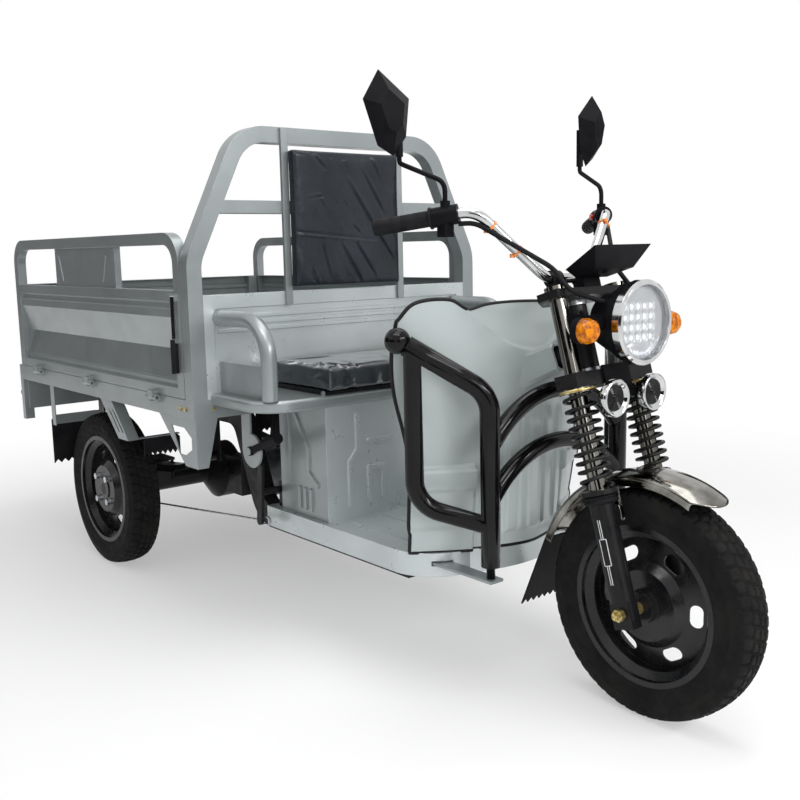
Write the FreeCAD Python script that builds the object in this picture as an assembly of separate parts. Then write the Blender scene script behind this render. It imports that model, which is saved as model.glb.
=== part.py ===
import FreeCAD, Part
import math
import os

# Cargo tricycle: one steered front wheel on a telescopic fork, a floor pan with a leg shield and
# crash guard, a seat over the battery box, and a load bed with drop sides on a sprung rear axle.
# Millimetres. X runs forward, Y to the rider's left, Z up from the ground.

V = FreeCAD.Vector
FORWARD = V(1, 0, 0)
LEFT = V(0, 1, 0)
UP = V(0, 0, 1)
ORIGIN = V(0, 0, 0)

# Whole vehicle
OVERALL_LENGTH = 2490.0
TRACK = 750.0
SHEET = 2.5
RUNNING_GAP = 0.3
OVERRUN = 30.0
CORNER_ROOM_SHARE = 0.49

# Wheels, alike at front and rear
TYRE_RADIUS = 235.0
TYRE_WIDTH = 94.0
TYRE_WALL = 8.0
BEAD_RADIUS = 156.0
RIM_WIDTH = 76.0
FLANGE_RADIUS = 165.0
FLANGE_THICKNESS = 4.0
RIM_WALL = 3.5
WELL_RADIUS = 140.0
WELL_WIDTH = 36.0
DISC_THICKNESS = 4.0
DISC_DISH = 16.0
DISC_STEP_RADIUS = 72.0
SLOT_COUNT = 6
SLOT_CIRCLE_RADIUS = 106.0
SLOT_LENGTH = 46.0
SLOT_WIDTH = 26.0
HUB_RADIUS = 34.0
TYRE_SECTION_SHARES = [(0.16, 0.92), (0.45, 1.0), (0.74, 0.97), (0.93, 0.84), (1.0, 0.5)]

# Front axle and hub
FRONT_AXLE_RADIUS = 7.0
FRONT_HUB_WIDTH = 104.0
SPACER_RADIUS = 13.0
AXLE_NUT_RADIUS = 13.0
AXLE_NUT_LENGTH = 12.0
AXLE_END_LENGTH = 8.0

# Telescopic fork, measured along its own raked axis from the front axle
RAKE_DEGREES = 16.2
FORK_SPAN = 184.0
STEM_OFFSET = 42.0
LEG_RADIUS = 25.0
LEG_DROP = 30.0
LEG_TOP = 245.0
LEG_BORE_FLOOR = 40.0
LUG_THICKNESS = 28.0
LUG_LENGTH = 46.0
STAY_BOSS_LOW = 176.0
STAY_BOSS_HEIGHT = 34.0
STAY_BOSS_WIDTH = 30.0
STAY_BOSS_GAP = 10.0
FORK_TUBE_RADIUS = 18.0
FORK_TUBE_BOTTOM = 118.0
SPRING_SEAT_RADIUS = 37.0
SPRING_SEAT_HEIGHT = 9.0
SPRING_TOP = 440.0
SPRING_MEAN_RADIUS = 30.5
SPRING_WIRE_RADIUS = 3.6
YOKE_BOTTOM = 449.0
LOWER_YOKE_HEIGHT = 30.0
UPPER_YOKE_BOTTOM = 632.0
UPPER_YOKE_HEIGHT = 16.0
YOKE_FRONT = 28.0
YOKE_BACK = 76.0
YOKE_MARGIN = 28.0
FORK_CAP_RADIUS = 23.0
FORK_CAP_HEIGHT = 9.0
STEM_RADIUS = 13.0
BEARING_HEIGHT = 10.0
BEARING_RADIUS = 30.0
HEAD_TUBE_RADIUS = 27.0
HEAD_TUBE_BORE = 22.0

# Handlebar with its risers, grips, switch housings and mirrors
BAR_RADIUS = 11.0
BAR_WALL = 2.0
BAR_RISE = 36.0
RISER_SPAN = 84.0
RISER_SIZE = 26.0
BAR_FLAT_HALF = 62.0
BAR_SHOULDER_BACK = 62.0
BAR_SHOULDER_HALF = 205.0
BAR_SHOULDER_RISE = 140.0
BAR_END_BACK = 225.0
BAR_END_HALF = 335.0
BAR_END_RISE = 110.0
BAR_BEND = 55.0
GRIP_RADIUS = 16.5
GRIP_LENGTH = 122.0
GRIP_FLANGE_RADIUS = 22.0
GRIP_FLANGE_LENGTH = 5.0
SWITCH_LENGTH = 54.0
SWITCH_RADIUS = 20.0
SWITCH_DROP = 34.0
SWITCH_DEPTH = 24.0
BUTTON_RADIUS = 7.0
BUTTON_LENGTH = 6.0
BUTTON_TRAVEL = 2.0
BUTTON_ROOT = 1.5
BUTTON_BOSS_RADIUS = 10.5
CABLE_RADIUS = 5.0
CABLE_REACH = 46.0
CABLE_RISE = 24.0
CABLE_HALF_SPAN = 96.0
CABLE_STANDOFF = 4.0
MIRROR_STEM_RADIUS = 5.0
MIRROR_STEM_LEAN = 96.0
MIRROR_STEM_SPREAD = 37.0
MIRROR_STEM_RISE = 92.0
MIRROR_FOOT_SHARE = 0.4
MIRROR_TIP_SHARE = 0.14
MIRROR_BOSS_RADIUS = 10.0
MIRROR_WIDTH = 104.0
MIRROR_HEIGHT = 168.0
MIRROR_DEPTH = 30.0
MIRROR_YAW_DEGREES = 12.0
MIRROR_OUTLINE_SHARES = [(-0.13, -0.5), (0.21, -0.38), (0.5, 0.15), (0.16, 0.5), (-0.5, 0.18),
                         (-0.42, -0.27)]
MIRROR_BACK_SHARE = 0.5
MIRROR_OFFSET_SHARE = 0.3
MIRROR_NECK_RADIUS = 8.0

# Headlight, signals, horns and display
LAMP_FACE_BACK = 28.0
LAMP_Z = 796.0
LAMP_RADIUS = 84.0
LAMP_RING_WIDTH = 10.0
LAMP_RING_DEPTH = 20.0
LAMP_DEPTH = 102.0
LAMP_BACK_RADIUS = 50.0
LAMP_WALL = 3.0
CABLE_ENTRY_SHARES = (0.6, 0.8)
CABLE_DROP_SHARE = 1.2
LENS_THICKNESS = 4.0
LENS_CROWN = 12.0
LENS_CROWN_SHARES = [(0.8, 0.4), (0.45, 0.8), (0.0, 1.0)]
EAR_THICKNESS = 8.0
EAR_HEIGHT = 34.0
EAR_BOSS_RADIUS = 13.0
EAR_BOSS_BACK = 56.0
SIGNAL_Y = 130.0
SIGNAL_DROP = 10.0
SIGNAL_RADIUS = 25.0
SIGNAL_DEPTH = 30.0
SIGNAL_CUP_DEPTH = 8.0
SIGNAL_STALK_RADIUS = 6.0
SIGNAL_DOME_SHARES = [(1.0, 0.0), (1.0, 0.3), (0.86, 0.7), (0.5, 0.95), (0.0, 1.0)]
HORN_BACK = 51.0
HORN_HALF_SPAN = 60.0
HORN_Z = 651.0
HORN_RADIUS = 37.0
HORN_RIM = 5.0
HORN_DEPTH = 25.0
HORN_BOWL_DEPTH = 10.0
HORN_STRAP_THICKNESS = 5.0
HORN_STRAP_HALF = 40.0
HORN_STRAP_TOP_SHARE = 0.6
HORN_BACK_SHARE = 0.7
HORN_ARM_SHARES = (1.5, 0.8)
DISPLAY_WIDTH = 176.0
DISPLAY_BASE_WIDTH = 120.0
DISPLAY_FRONT_BACK = 86.0
DISPLAY_TOP_Z = 948.0
DISPLAY_DEPTH = 88.0
DISPLAY_DROP = 48.0
DISPLAY_BASE_DROP = 66.0
DISPLAY_STALK_HALF = 26.0
DISPLAY_STALK_DEPTH = 20.0
DISPLAY_LOW_SHARE = 0.82
DISPLAY_UNDER_SHARES = [(0.25, 1.0, 0.4), (0.9, 0.8, 0.0)]
DISPLAY_LINK_SHARES = (0.8, 0.5, 0.45)

# Front fender and its flap
FENDER_RADIUS = 264.0
FENDER_HALF_WIDTH = 52.0
FENDER_LIP = 20.0
FENDER_CROWN = 9.0
FENDER_FRONT_DEGREES = 57.0
FENDER_REAR_DEGREES = 160.0
FLAP_LENGTH = 170.0
FLAP_THICKNESS = 4.0
FLAP_FLARE = 14.0
FLAP_TOOTH_DEPTH = 12.0
FLAP_TEETH = 7

# Floor pan, frame rails and neck
FLOOR_TOP_Z = 288.0
FLOOR_DEPTH = 53.0
FLOOR_WIDTH = 524.0
FLOOR_SETBACK = 352.0
FLOOR_TAIL = 22.0
FLOOR_HOLE_MARGIN = 8.0
FLOOR_CORNER_RADIUS = 120.0
FLOOR_NOSE_BULGE = 34.0
FLOOR_RIB_COUNT = 5
FLOOR_RIB_WIDTH = 16.0
FLOOR_RIB_HEIGHT = 3.0
FLOOR_RIB_MARGIN = 70.0
FLOOR_RIB_END_SHARE = 0.4
RAIL_SPAN = 460.0
RAIL_WIDTH = 40.0
RAIL_HEIGHT = 60.0
RAIL_WALL = 3.0
RAIL_BEND = 70.0
RAIL_NOSE_BACK = 470.0
RAIL_KICK_START = 70.0
RAIL_KICK_LENGTH = 110.0
NECK_RADIUS = 24.0
NECK_WALL = 3.0
CROSS_BAR_SHARE = 0.8
NECK_HEAD_Z = 735.0
NECK_ELBOW_BACK = 425.0
NECK_ELBOW_Z = 640.0
NECK_FOOT_BACK = 480.0
NECK_BEND = 60.0

# Leg shield, heights as shares of its height and places as shares of its depth and half width
SHIELD_BACK = 469.0
SHIELD_DEPTH = 155.0
SHIELD_HALF_WIDTH = 352.0
SHIELD_HEIGHT = 554.0
SHIELD_WALL = 4.0
SHIELD_SWEEP_POWER = 1.6
SHIELD_STATION_SHARES = [0.0, 0.24, 0.47, 0.68, 0.87, 1.0]
SHIELD_LEVEL_SHARES = [
    (0.0, 0.648, 0.832, 0.0),
    (0.202, 0.69, 0.858, 0.11),
    (0.419, 0.781, 0.897, 0.187),
    (0.653, 0.903, 0.935, 0.2),
    (0.82, 0.966, 0.974, 0.28),
]
SHIELD_TOP_SHARES = [
    (0.703, 0.0, 0.971),
    (0.703, 0.227, 0.968),
    (0.703, 0.455, 0.964),
    (0.66, 0.648, 1.0),
    (0.5, 0.903, 0.989),
    (0.36, 1.0, 0.924),
]

# Crash guard
GUARD_TUBE_RADIUS = 18.0
GUARD_BRACE_RADIUS = 16.5
GUARD_BAR_RADIUS = 15.0
GUARD_TUBE_WALL = 2.5
GUARD_FRONT_BACK = 257.0
GUARD_FRONT_HALF = 205.0
GUARD_FOOT_Z = 296.0
GUARD_CORNER_Z = 655.0
GUARD_BEND = 70.0
GUARD_BALL_BACK = 382.0
GUARD_BALL_HALF = 340.0
GUARD_BALL_Z = 765.0
GUARD_BALL_RADIUS = 27.0
GUARD_BRACE_SHARE = 0.16
GUARD_BRACE_LOW_Z = 425.0
GUARD_BRACE_END_Z = 380.0
GUARD_BAR_LOW_Z = 440.0
GUARD_BAR_STEP = 112.0
GUARD_BAR_ARCH = 92.0
GUARD_PEG_RADIUS = 7.0
GUARD_LUG_WIDTH = 36.0
GUARD_LUG_THICKNESS = 6.0
GUARD_LUG_Z = 262.0

# Battery box, batteries, seat shelf, arm hoops and seat
SEAT_BOX_SETBACK = 775.0
SEAT_BOX_WIDTH = 494.0
SEAT_BOX_TAIL = 30.0
SEAT_BOX_RIB = 5.0
SEAT_BOX_RIB_WIDTH = 12.0
FRONT_RIB_SHARES = [
    [(0.72, 0.12), (0.72, 0.5), (0.62, 0.6), (0.62, 0.9)],
    [(0.2, 0.66), (0.48, 0.66)],
    [(0.3, 0.14), (0.3, 0.42), (0.48, 0.42), (0.48, 0.14)],
]
SIDE_RIB_SHARES = [
    [(0.2, 0.3), (0.2, 0.9)],
    [(0.34, 0.92), (0.62, 0.62), (0.62, 0.4), (0.8, 0.3)],
    [(0.42, 0.08), (0.42, 0.24)],
    [(0.54, 0.08), (0.54, 0.24)],
    [(0.66, 0.08), (0.66, 0.24)],
]
SHELF_BOTTOM_Z = 575.0
SHELF_HEIGHT = 30.0
SHELF_WIDTH = 848.0
SHELF_NOSE = 248.0
SHELF_CORNER_RADIUS = 90.0
SHELF_EDGE_RADIUS = 10.0
SHELF_HATCH_WIDTH = 380.0
SHELF_HATCH_LENGTH = 130.0
CELL_COUNT = 4
CELL_LENGTH = 170.0
CELL_WIDTH = 96.0
CELL_HEIGHT = 205.0
CELL_GAP = 6.0
CONTROLLER_HEIGHT = 56.0
CONTROLLER_WIDTH = 150.0
CONTROLLER_LENGTH = 120.0
ARM_TUBE_RADIUS = 19.0
ARM_TUBE_WALL = 2.0
ARM_Y = 390.0
ARM_TOP_Z = 790.0
ARM_NOSE = 220.0
ARM_BEND = 96.0
ARM_PANEL_TOP_Z = 682.0
SEAT_WIDTH = 520.0
SEAT_LENGTH = 252.0
SEAT_BASE_HEIGHT = 12.0
SEAT_HINGE_AHEAD = 238.0
SEAT_LUG_THICKNESS = 6.0
SEAT_LUG_HALF = 5.0
SEAT_PIN_RADIUS = 3.0
SEAT_PIN_DEPTH = 20.0
SEAT_CUSHION_HEIGHT = 60.0
SEAT_REAR_GAP = 20.0
CUSHION_CORNER_RADIUS = 34.0
CUSHION_INSET = 10.0
CUSHION_LEVEL_SHARES = [(0.0, 0.45), (0.3, 0.0), (0.68, 0.3), (0.9, 1.6), (1.0, 4.2)]

# Load bed
BOX_SETBACK = 1010.0
BOX_LENGTH = 1202.0
REAR_AXLE_SHARE = 0.607321
BOX_WIDTH = 944.0
BED_BOTTOM_Z = 542.0
BED_HEIGHT = 48.0
BED_CHANNEL = 50.0
BED_CHANNEL_WALL = 3.0
BED_CROSS_COUNT = 4
BED_CROSS_WIDTH = 40.0
BED_CROSS_HEIGHT = 24.0
DECK_GAP = 6.0
GUSSET_LENGTH = 200.0
GUSSET_DROP = 122.0
GUSSET_FOOT = 62.0
GUSSET_WALL = 3.0
GUSSET_SPAN_SHARE = 0.9
GUSSET_WINDOW_SHARES = [(0.28, 0.2), (0.66, 0.2), (0.86, 0.38), (0.86, 0.62), (0.66, 0.78), (0.5, 0.78)]
STAY_TOP_LENGTH = 78.0
STAY_DROP = 112.0
STAY_SWEEP = 120.0
STAY_FLANGE = 34.0
STAY_SLOT_WIDTH = 9.0
STAY_FOOT_SHARE = 0.8
STAY_SLOT_SHARES = [0.3, 0.62]
STAY_SLOT_TOP_SHARES = (0.3, 0.28)
STAY_SLOT_END_SHARE = 0.82
STAY_CLEAR = 168.0
REAR_FLAP_CLEAR = 27.0
REAR_FLAP_BOTTOM_Z = 282.0
REAR_FLAP_INNER = 300.0
REAR_FLAP_OUTER = 462.0
REAR_FLAP_TOP_Z = 440.0
REAR_STRUT_WIDTH = 30.0
FRONT_FLAP_INSET = 51.0
FRONT_FLAP_BOTTOM_Z = 380.0
POST_WIDTH = 24.0
POST_DEPTH = 30.0
POST_BOTTOM_Z = 405.0
BUMPER_RADIUS = 12.0
BUMPER_Z = 492.0
VALANCE_BOTTOM_Z = 440.0
TAIL_LAMP_WIDTH = 120.0
TAIL_LAMP_HEIGHT = 58.0
TAIL_LAMP_DEPTH = 24.0
TAIL_LAMP_INSET = 142.0
TAIL_LAMP_EDGE = 8.4
BOLT_RADIUS = 5.0
BOLT_HEIGHT = 4.0
SIDE_BOLT_SHARES = [0.8, 1.35]
FRONT_BOLT_SHARES = [1.1, 2.1]

# Gates, wall and headboard hoop
PANEL_TOP_Z = 858.0
GATE_TOP_Z = 1000.0
GATE_THICKNESS = 28.0
GATE_RAIL_HEIGHT = 30.0
GATE_RAIL_BEND = 62.0
GATE_RAIL_WALL = 2.0
GATE_SKIN = 2.0
GATE_BORDER = 34.0
GATE_END_GAP = 3.0
GATE_PROFILE_SHARES = [
    (0.0, 0.0), (0.1, 0.0), (0.115, 0.3), (0.16, 0.3), (0.175, 0.12), (0.25, 0.12),
    (0.55, 0.82), (0.83, 0.3), (0.85, 0.5), (0.89, 0.5), (0.905, 0.0), (1.0, 0.0),
]
GATE_PLATE_START_SHARE = 0.305
GATE_PLATE_END_SHARE = 0.675
GATE_PLATE_THICKNESS = 18.0
GATE_SLASH_DEPTH = 3.0
GATE_SLASH_WIDTH = 7.0
GATE_SLASH_SHARES = [(0.12, 0.06), (0.8, 0.86)]
GATE_SLASH_HEIGHT_SHARES = (0.12, 0.7)
HINGE_SHARES = [0.15, 0.5, 0.86]
HINGE_RADIUS = 8.0
HINGE_PIN_RADIUS = 4.0
HINGE_LENGTH = 54.0
HINGE_STANDOFF = 9.0
HINGE_WEB_DROP = 12.8
BED_EAR_SHARES = [(0.0, 0.24), (0.76, 1.0)]
GATE_EAR_SHARES = (0.26, 0.74)
HINGE_Z = 583.0
LATCH_PIVOT_Z = 842.0
LATCH_LENGTH = 196.0
LATCH_WIDTH = 20.0
LATCH_THICKNESS = 9.0
LATCH_GRIP_RADIUS = 9.0
LATCH_GRIP_LENGTH = 84.0
LATCH_PIN_RADIUS = 5.0
LATCH_INSET = 24.0
WALL_TOP_Z = 846.0
WALL_DEPTH = 26.0
WALL_RAIL_HEIGHT = 34.0
WALL_GROOVES = 3
WALL_GROOVE_HEIGHT = 9.0
WALL_GROOVE_STEP = 17.0
WALL_GROOVE_DEPTH = 5.0
WALL_EDGE_SHARE = 0.7
HOOP_TOP_Z = 1257.0
HOOP_TUBE = 40.0
HOOP_TUBE_WALL = 2.0
HOOP_SHOULDER_Z = 930.0
HOOP_TOP_HALF = 305.0
HOOP_TOP_BEND = 105.0
HOOP_BAR_Z = 1059.0
HOOP_BAR_HEIGHT = 32.0
STRIP_HALF_SPAN = 186.0
STRIP_WIDTH = 20.0
STRIP_THICKNESS = 8.0
PAD_WIDTH = 376.0
PAD_BOTTOM_Z = 852.0
PAD_TOP_Z = 1214.0
PAD_THICKNESS = 44.0

# Rear axle, springs and brakes
AXLE_TUBE_RADIUS = 36.0
AXLE_TUBE_HALF = 292.0
AXLE_STUB_RADIUS = 16.0
DIFF_RADIUS = 92.0
DIFF_WIDTH = 130.0
DIFF_RIM_SHARE = 0.4
DIFF_NECK_RADIUS = 39.6
MOTOR_BRIDGE_SHARE = 0.8
MOTOR_RADIUS = 76.0
MOTOR_LENGTH = 148.0
MOTOR_AHEAD = 174.0
MOTOR_END_RADIUS = 52.0
MOTOR_END_LENGTH = 24.0
DRUM_RADIUS = 92.0
DRUM_WIDTH = 34.0
DRUM_HOLLOW_SHARE = 0.7
BACK_PLATE_THICKNESS = 6.0
REAR_HUB_WIDTH = 74.0
WHEEL_NUT_COUNT = 4
WHEEL_NUT_CIRCLE = 50.0
WHEEL_NUT_RADIUS = 10.0
WHEEL_NUT_LENGTH = 13.0
LEAF_COUNT = 3
LEAF_THICKNESS = 7.0
LEAF_WIDTH = 50.0
LEAF_HALF_SHARE = 0.282862
LEAF_CAMBER = 64.0
LEAF_LENGTH_SHARES = [1.0, 0.74, 0.48]
LEAF_PAD = 4.0
LEAF_EYE_RADIUS = 14.0
LEAF_PIN_RADIUS = 7.0
HANGER_THICKNESS = 6.0
HANGER_LENGTH = 44.0
HANGER_FOOT_SHARE = 0.7
CLAMP_LENGTH = 90.0
CLAMP_THICKNESS = 8.0
CLAMP_BOLT_RADIUS = 5.0
SHAFT_AHEAD = 12.0
SHAFT_Z = 335.0
SHAFT_RADIUS = 9.0
SHAFT_ARM_Y = 296.0
SHAFT_ARM_THICKNESS = 8.0
SHAFT_ARM_WIDTH = 22.0
SHAFT_ARM_RISE = 72.0
SHAFT_ARM_FALL = 76.0
SHAFT_ARM_LEAN = 8.0
SHAFT_LUG_THICKNESS = 8.0
SHAFT_LUG_HALF = 17.0
ROD_RADIUS = 2.6
ROD_PIN_RADIUS = 5.0
ROD_EYE_RADIUS = 12.0
ROD_SLOT = 26.0
ROD_REAR_AHEAD = 96.0
ROD_REAR_Z = 188.0
ROD_THICKNESS = 5.4
CAM_ARM_THICKNESS = 6.0
CAM_ROOT_SHARE = 0.6
ROD_END_SHARE = 0.8
SHAFT_ARM_TOP_SHARE = 0.6
PEDAL_BACK = 530.0
PEDAL_Y = 120.0
PEDAL_PIVOT_Z = 312.0
PEDAL_PIN_RADIUS = 6.0
PEDAL_ARM_LENGTH = 112.0
PEDAL_ARM_WIDTH = 16.0
PEDAL_ARM_DEPTH = 10.0
PEDAL_PAD_WIDTH = 74.0
PEDAL_PAD_LENGTH = 58.0
PEDAL_PAD_THICKNESS = 12.0
PEDAL_RIB_SHARES = [0.2, 0.5, 0.8]
PEDAL_RIB_WIDTH_SHARE = 0.12
PEDAL_RIB_ROOT_SHARE = 0.9
PEDAL_RIB_RISE_SHARE = 0.4
PEDAL_TILT_DEGREES = 52.0
PEDAL_LUG_GAP = 1.0
PEDAL_LUG_THICKNESS = 5.0
LEVER_PIVOT_AHEAD = 4.0
LEVER_PIVOT_Z = 446.0
LEVER_Y = 318.0
LEVER_THICKNESS = 7.0
LEVER_WIDTH = 18.0
LEVER_LENGTH = 96.0
LEVER_KNOB_RADIUS = 14.0
LEVER_KNOB_LENGTH = 66.0
LEVER_ANGLE_DEGREES = 21.0
QUADRANT_THICKNESS = 6.0
QUADRANT_RADIUS = 44.0
PIVOT_HEAD_RADIUS = 9.6

# Places that follow from the sizes above
AXLE_X = OVERALL_LENGTH / 2 - TYRE_RADIUS
AXLE_Z = TYRE_RADIUS
BOX_FRONT_X = AXLE_X - BOX_SETBACK
TAIL_LAMP_HALF_SPAN = BOX_WIDTH / 2 - TAIL_LAMP_INSET
BOX_REAR_X = BOX_FRONT_X - BOX_LENGTH
REAR_X = BOX_FRONT_X - BOX_LENGTH * REAR_AXLE_SHARE
LEAF_HALF_LENGTH = BOX_LENGTH * LEAF_HALF_SHARE
BOX_HALF = BOX_WIDTH / 2
BED_TOP_Z = BED_BOTTOM_Z + BED_HEIGHT
FLOOR_BOTTOM_Z = FLOOR_TOP_Z - FLOOR_DEPTH
SHELF_TOP_Z = SHELF_BOTTOM_Z + SHELF_HEIGHT
HALF_SPAN = FORK_SPAN / 2
HALF_TRACK = TRACK / 2
RAIL_LOW_Z = FLOOR_TOP_Z - SHEET - RAIL_HEIGHT / 2
RAIL_HIGH_Z = BED_BOTTOM_Z - RAIL_HEIGHT / 2
RAIL_Y = RAIL_SPAN / 2
GATE_FRONT_X = BOX_FRONT_X - HOOP_TUBE - GATE_END_GAP
HINGE_Y = BOX_HALF + HINGE_STANDOFF


def box(x0, x1, y0, y1, z0, z1):
    """Block between two corners."""
    return Part.makeBox(x1 - x0, y1 - y0, z1 - z0, V(x0, y0, z0))


def rod(start, end, radius):
    """Round bar between two points."""
    run = end - start
    return Part.makeCylinder(radius, run.Length, start, run)


def ring(start, end, outer, inner):
    """Round sleeve between two points."""
    return rod(start, end, outer).cut(rod(start, end, inner))


def mirrored(shape):
    """The same piece on the other side of the vehicle."""
    return shape.mirror(ORIGIN, LEFT)


def pair(shape):
    """A piece with its twin on the other side, as two solids."""
    return Part.makeCompound([shape, mirrored(shape)])


def fuse(shapes):
    """Weld overlapping shapes into one solid."""
    return outward(shapes[0].multiFuse(shapes[1:]).removeSplitter())


def weld(shapes):
    """Join crossing tubes into one solid and keep the seams of their joints."""
    return shapes[0].multiFuse(shapes[1:])


def outward(solid):
    """The solid with its faces turned to look outward."""
    if solid.Volume < 0:
        solid.reverse()
    return solid


def plate(outline, direction):
    """Flat plate from its outline, made thick along a direction."""
    closed = list(outline) + [outline[0]]
    return outward(Part.Face(Part.makePolygon(closed)).extrude(direction))


def turned(profile, centre, axis, degrees=360.0):
    """Solid turned about an axis: the profile holds pairs of radius and place along the axis."""
    radial = UP if abs(axis.z) == 0 else FORWARD
    points = [centre + radial * radius + axis * along for radius, along in profile]
    closed = points + [points[0]]
    return outward(Part.Face(Part.makePolygon(closed)).revolve(centre, axis, degrees))


def bent_bar(section, points, bend):
    """Bar of one section along the points: straight runs, and corners turned to the bend radius where there is room."""
    runs = []
    here = points[0]
    for before, corner, after in zip(points, points[1:], points[2:]):
        into = (corner - before).normalize()
        out = (after - corner).normalize()
        turn = into.getAngle(out)
        room = CORNER_ROOM_SHARE * min((corner - before).Length, (after - corner).Length)
        setback = min(bend * math.tan(turn / 2), room)
        radius = setback / math.tan(turn / 2)
        start = corner - into * setback
        runs.append(section.extrude(start - here))
        section = section.translated(start - here)
        axis = into.cross(out).normalize()
        centre = start + axis.cross(into) * radius
        degrees = math.degrees(turn)
        runs.append(section.revolve(centre, axis, degrees))
        section = section.rotated(centre, axis, degrees)
        here = corner + out * setback
    runs.append(section.extrude(points[-1] - here))
    return fuse([outward(run) for run in runs])


def disc(place, heading, radius):
    """Round flat section, square to a heading."""
    return Part.Face(Part.Wire(Part.makeCircle(radius, place, heading)))


def round_sweep(points, bend, radius):
    """Round bar bent along the points."""
    return bent_bar(disc(points[0], points[1] - points[0], radius), points, bend)


def tube(points, bend, radius, wall):
    """Round tube bent along the points, open at both ends."""
    return round_sweep(points, bend, radius).cut(round_sweep(points, bend, radius - wall))


def flat_sweep(points, bend, side, width, height):
    """Rectangular bar bent along the points; its width lies along the side direction."""
    heading = (points[1] - points[0]).normalize()
    upward = heading.cross(side).normalize()
    across = side * (width / 2)
    rise = upward * (height / 2)
    start = points[0]
    corners = [start + across + rise, start - across + rise, start - across - rise, start + across - rise]
    section = Part.Face(Part.makePolygon(corners + [corners[0]]))
    return bent_bar(section, points, bend)


def box_tube(points, bend, side, width, height, wall):
    """Rectangular tube bent along the points, open at both ends."""
    outer = flat_sweep(points, bend, side, width, height)
    return outer.cut(flat_sweep(points, bend, side, width - 2 * wall, height - 2 * wall))


def rounded_rectangle(x0, x1, y0, y1, z, radius):
    """Level wire with rounded corners."""
    radius = min(radius, CORNER_ROOM_SHARE * (x1 - x0), CORNER_ROOM_SHARE * (y1 - y0))
    slope = math.sqrt(0.5)
    edges = []
    corners = [(x0, y0, 1, 1), (x1, y0, -1, 1), (x1, y1, -1, -1), (x0, y1, 1, -1)]
    starts = []
    for x, y, toward_x, toward_y in corners:
        centre = V(x + toward_x * radius, y + toward_y * radius, z)
        on_x_side = V(x + toward_x * radius, y, z)
        on_y_side = V(x, y + toward_y * radius, z)
        middle = centre - V(toward_x, toward_y, 0) * (radius * slope)
        first, last = (on_y_side, on_x_side) if toward_x == toward_y else (on_x_side, on_y_side)
        starts.append((first, middle, last))
    for place, (first, middle, last) in enumerate(starts):
        edges.append(Part.Arc(first, middle, last).toShape())
        following = starts[(place + 1) % len(starts)][0]
        edges.append(Part.makeLine(last, following))
    return Part.Wire(edges)


def to_fork(shape):
    """Lean a piece built on an upright fork to the rake and set it on the front axle."""
    leaned = shape.copy()
    leaned.rotate(ORIGIN, LEFT, -RAKE_DEGREES)
    leaned.translate(V(AXLE_X, 0, AXLE_Z))
    return leaned


def fork_point(x, y, z):
    """A place on the leaned fork, from its place on an upright one."""
    lean = math.radians(RAKE_DEGREES)
    ahead = x * math.cos(lean) - z * math.sin(lean)
    height = x * math.sin(lean) + z * math.cos(lean)
    return V(AXLE_X + ahead, y, AXLE_Z + height)


def save(name, shape):
    """Write one sub-part to its own file."""
    shape.exportStep("parts/" + name + ".step")


def tyre(centre):
    """Hollow tyre whose beads sit against the rim flanges."""
    half_bead = RIM_WIDTH / 2
    height = TYRE_RADIUS - BEAD_RADIUS
    half = TYRE_WIDTH / 2
    outer = [(BEAD_RADIUS, half_bead), (FLANGE_RADIUS + RUNNING_GAP, half_bead)]
    inner = [(BEAD_RADIUS, half_bead - TYRE_WALL)]
    for up_share, out_share in TYRE_SECTION_SHARES:
        outer.append((BEAD_RADIUS + height * up_share, half * out_share))
        inner.append((BEAD_RADIUS + (height - TYRE_WALL) * up_share, (half - TYRE_WALL) * out_share))
    far_outer = [(radius, -along) for radius, along in reversed(outer)]
    far_inner = [(radius, -along) for radius, along in inner]
    return turned(outer + far_outer + far_inner + inner[::-1], centre, LEFT)


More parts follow.
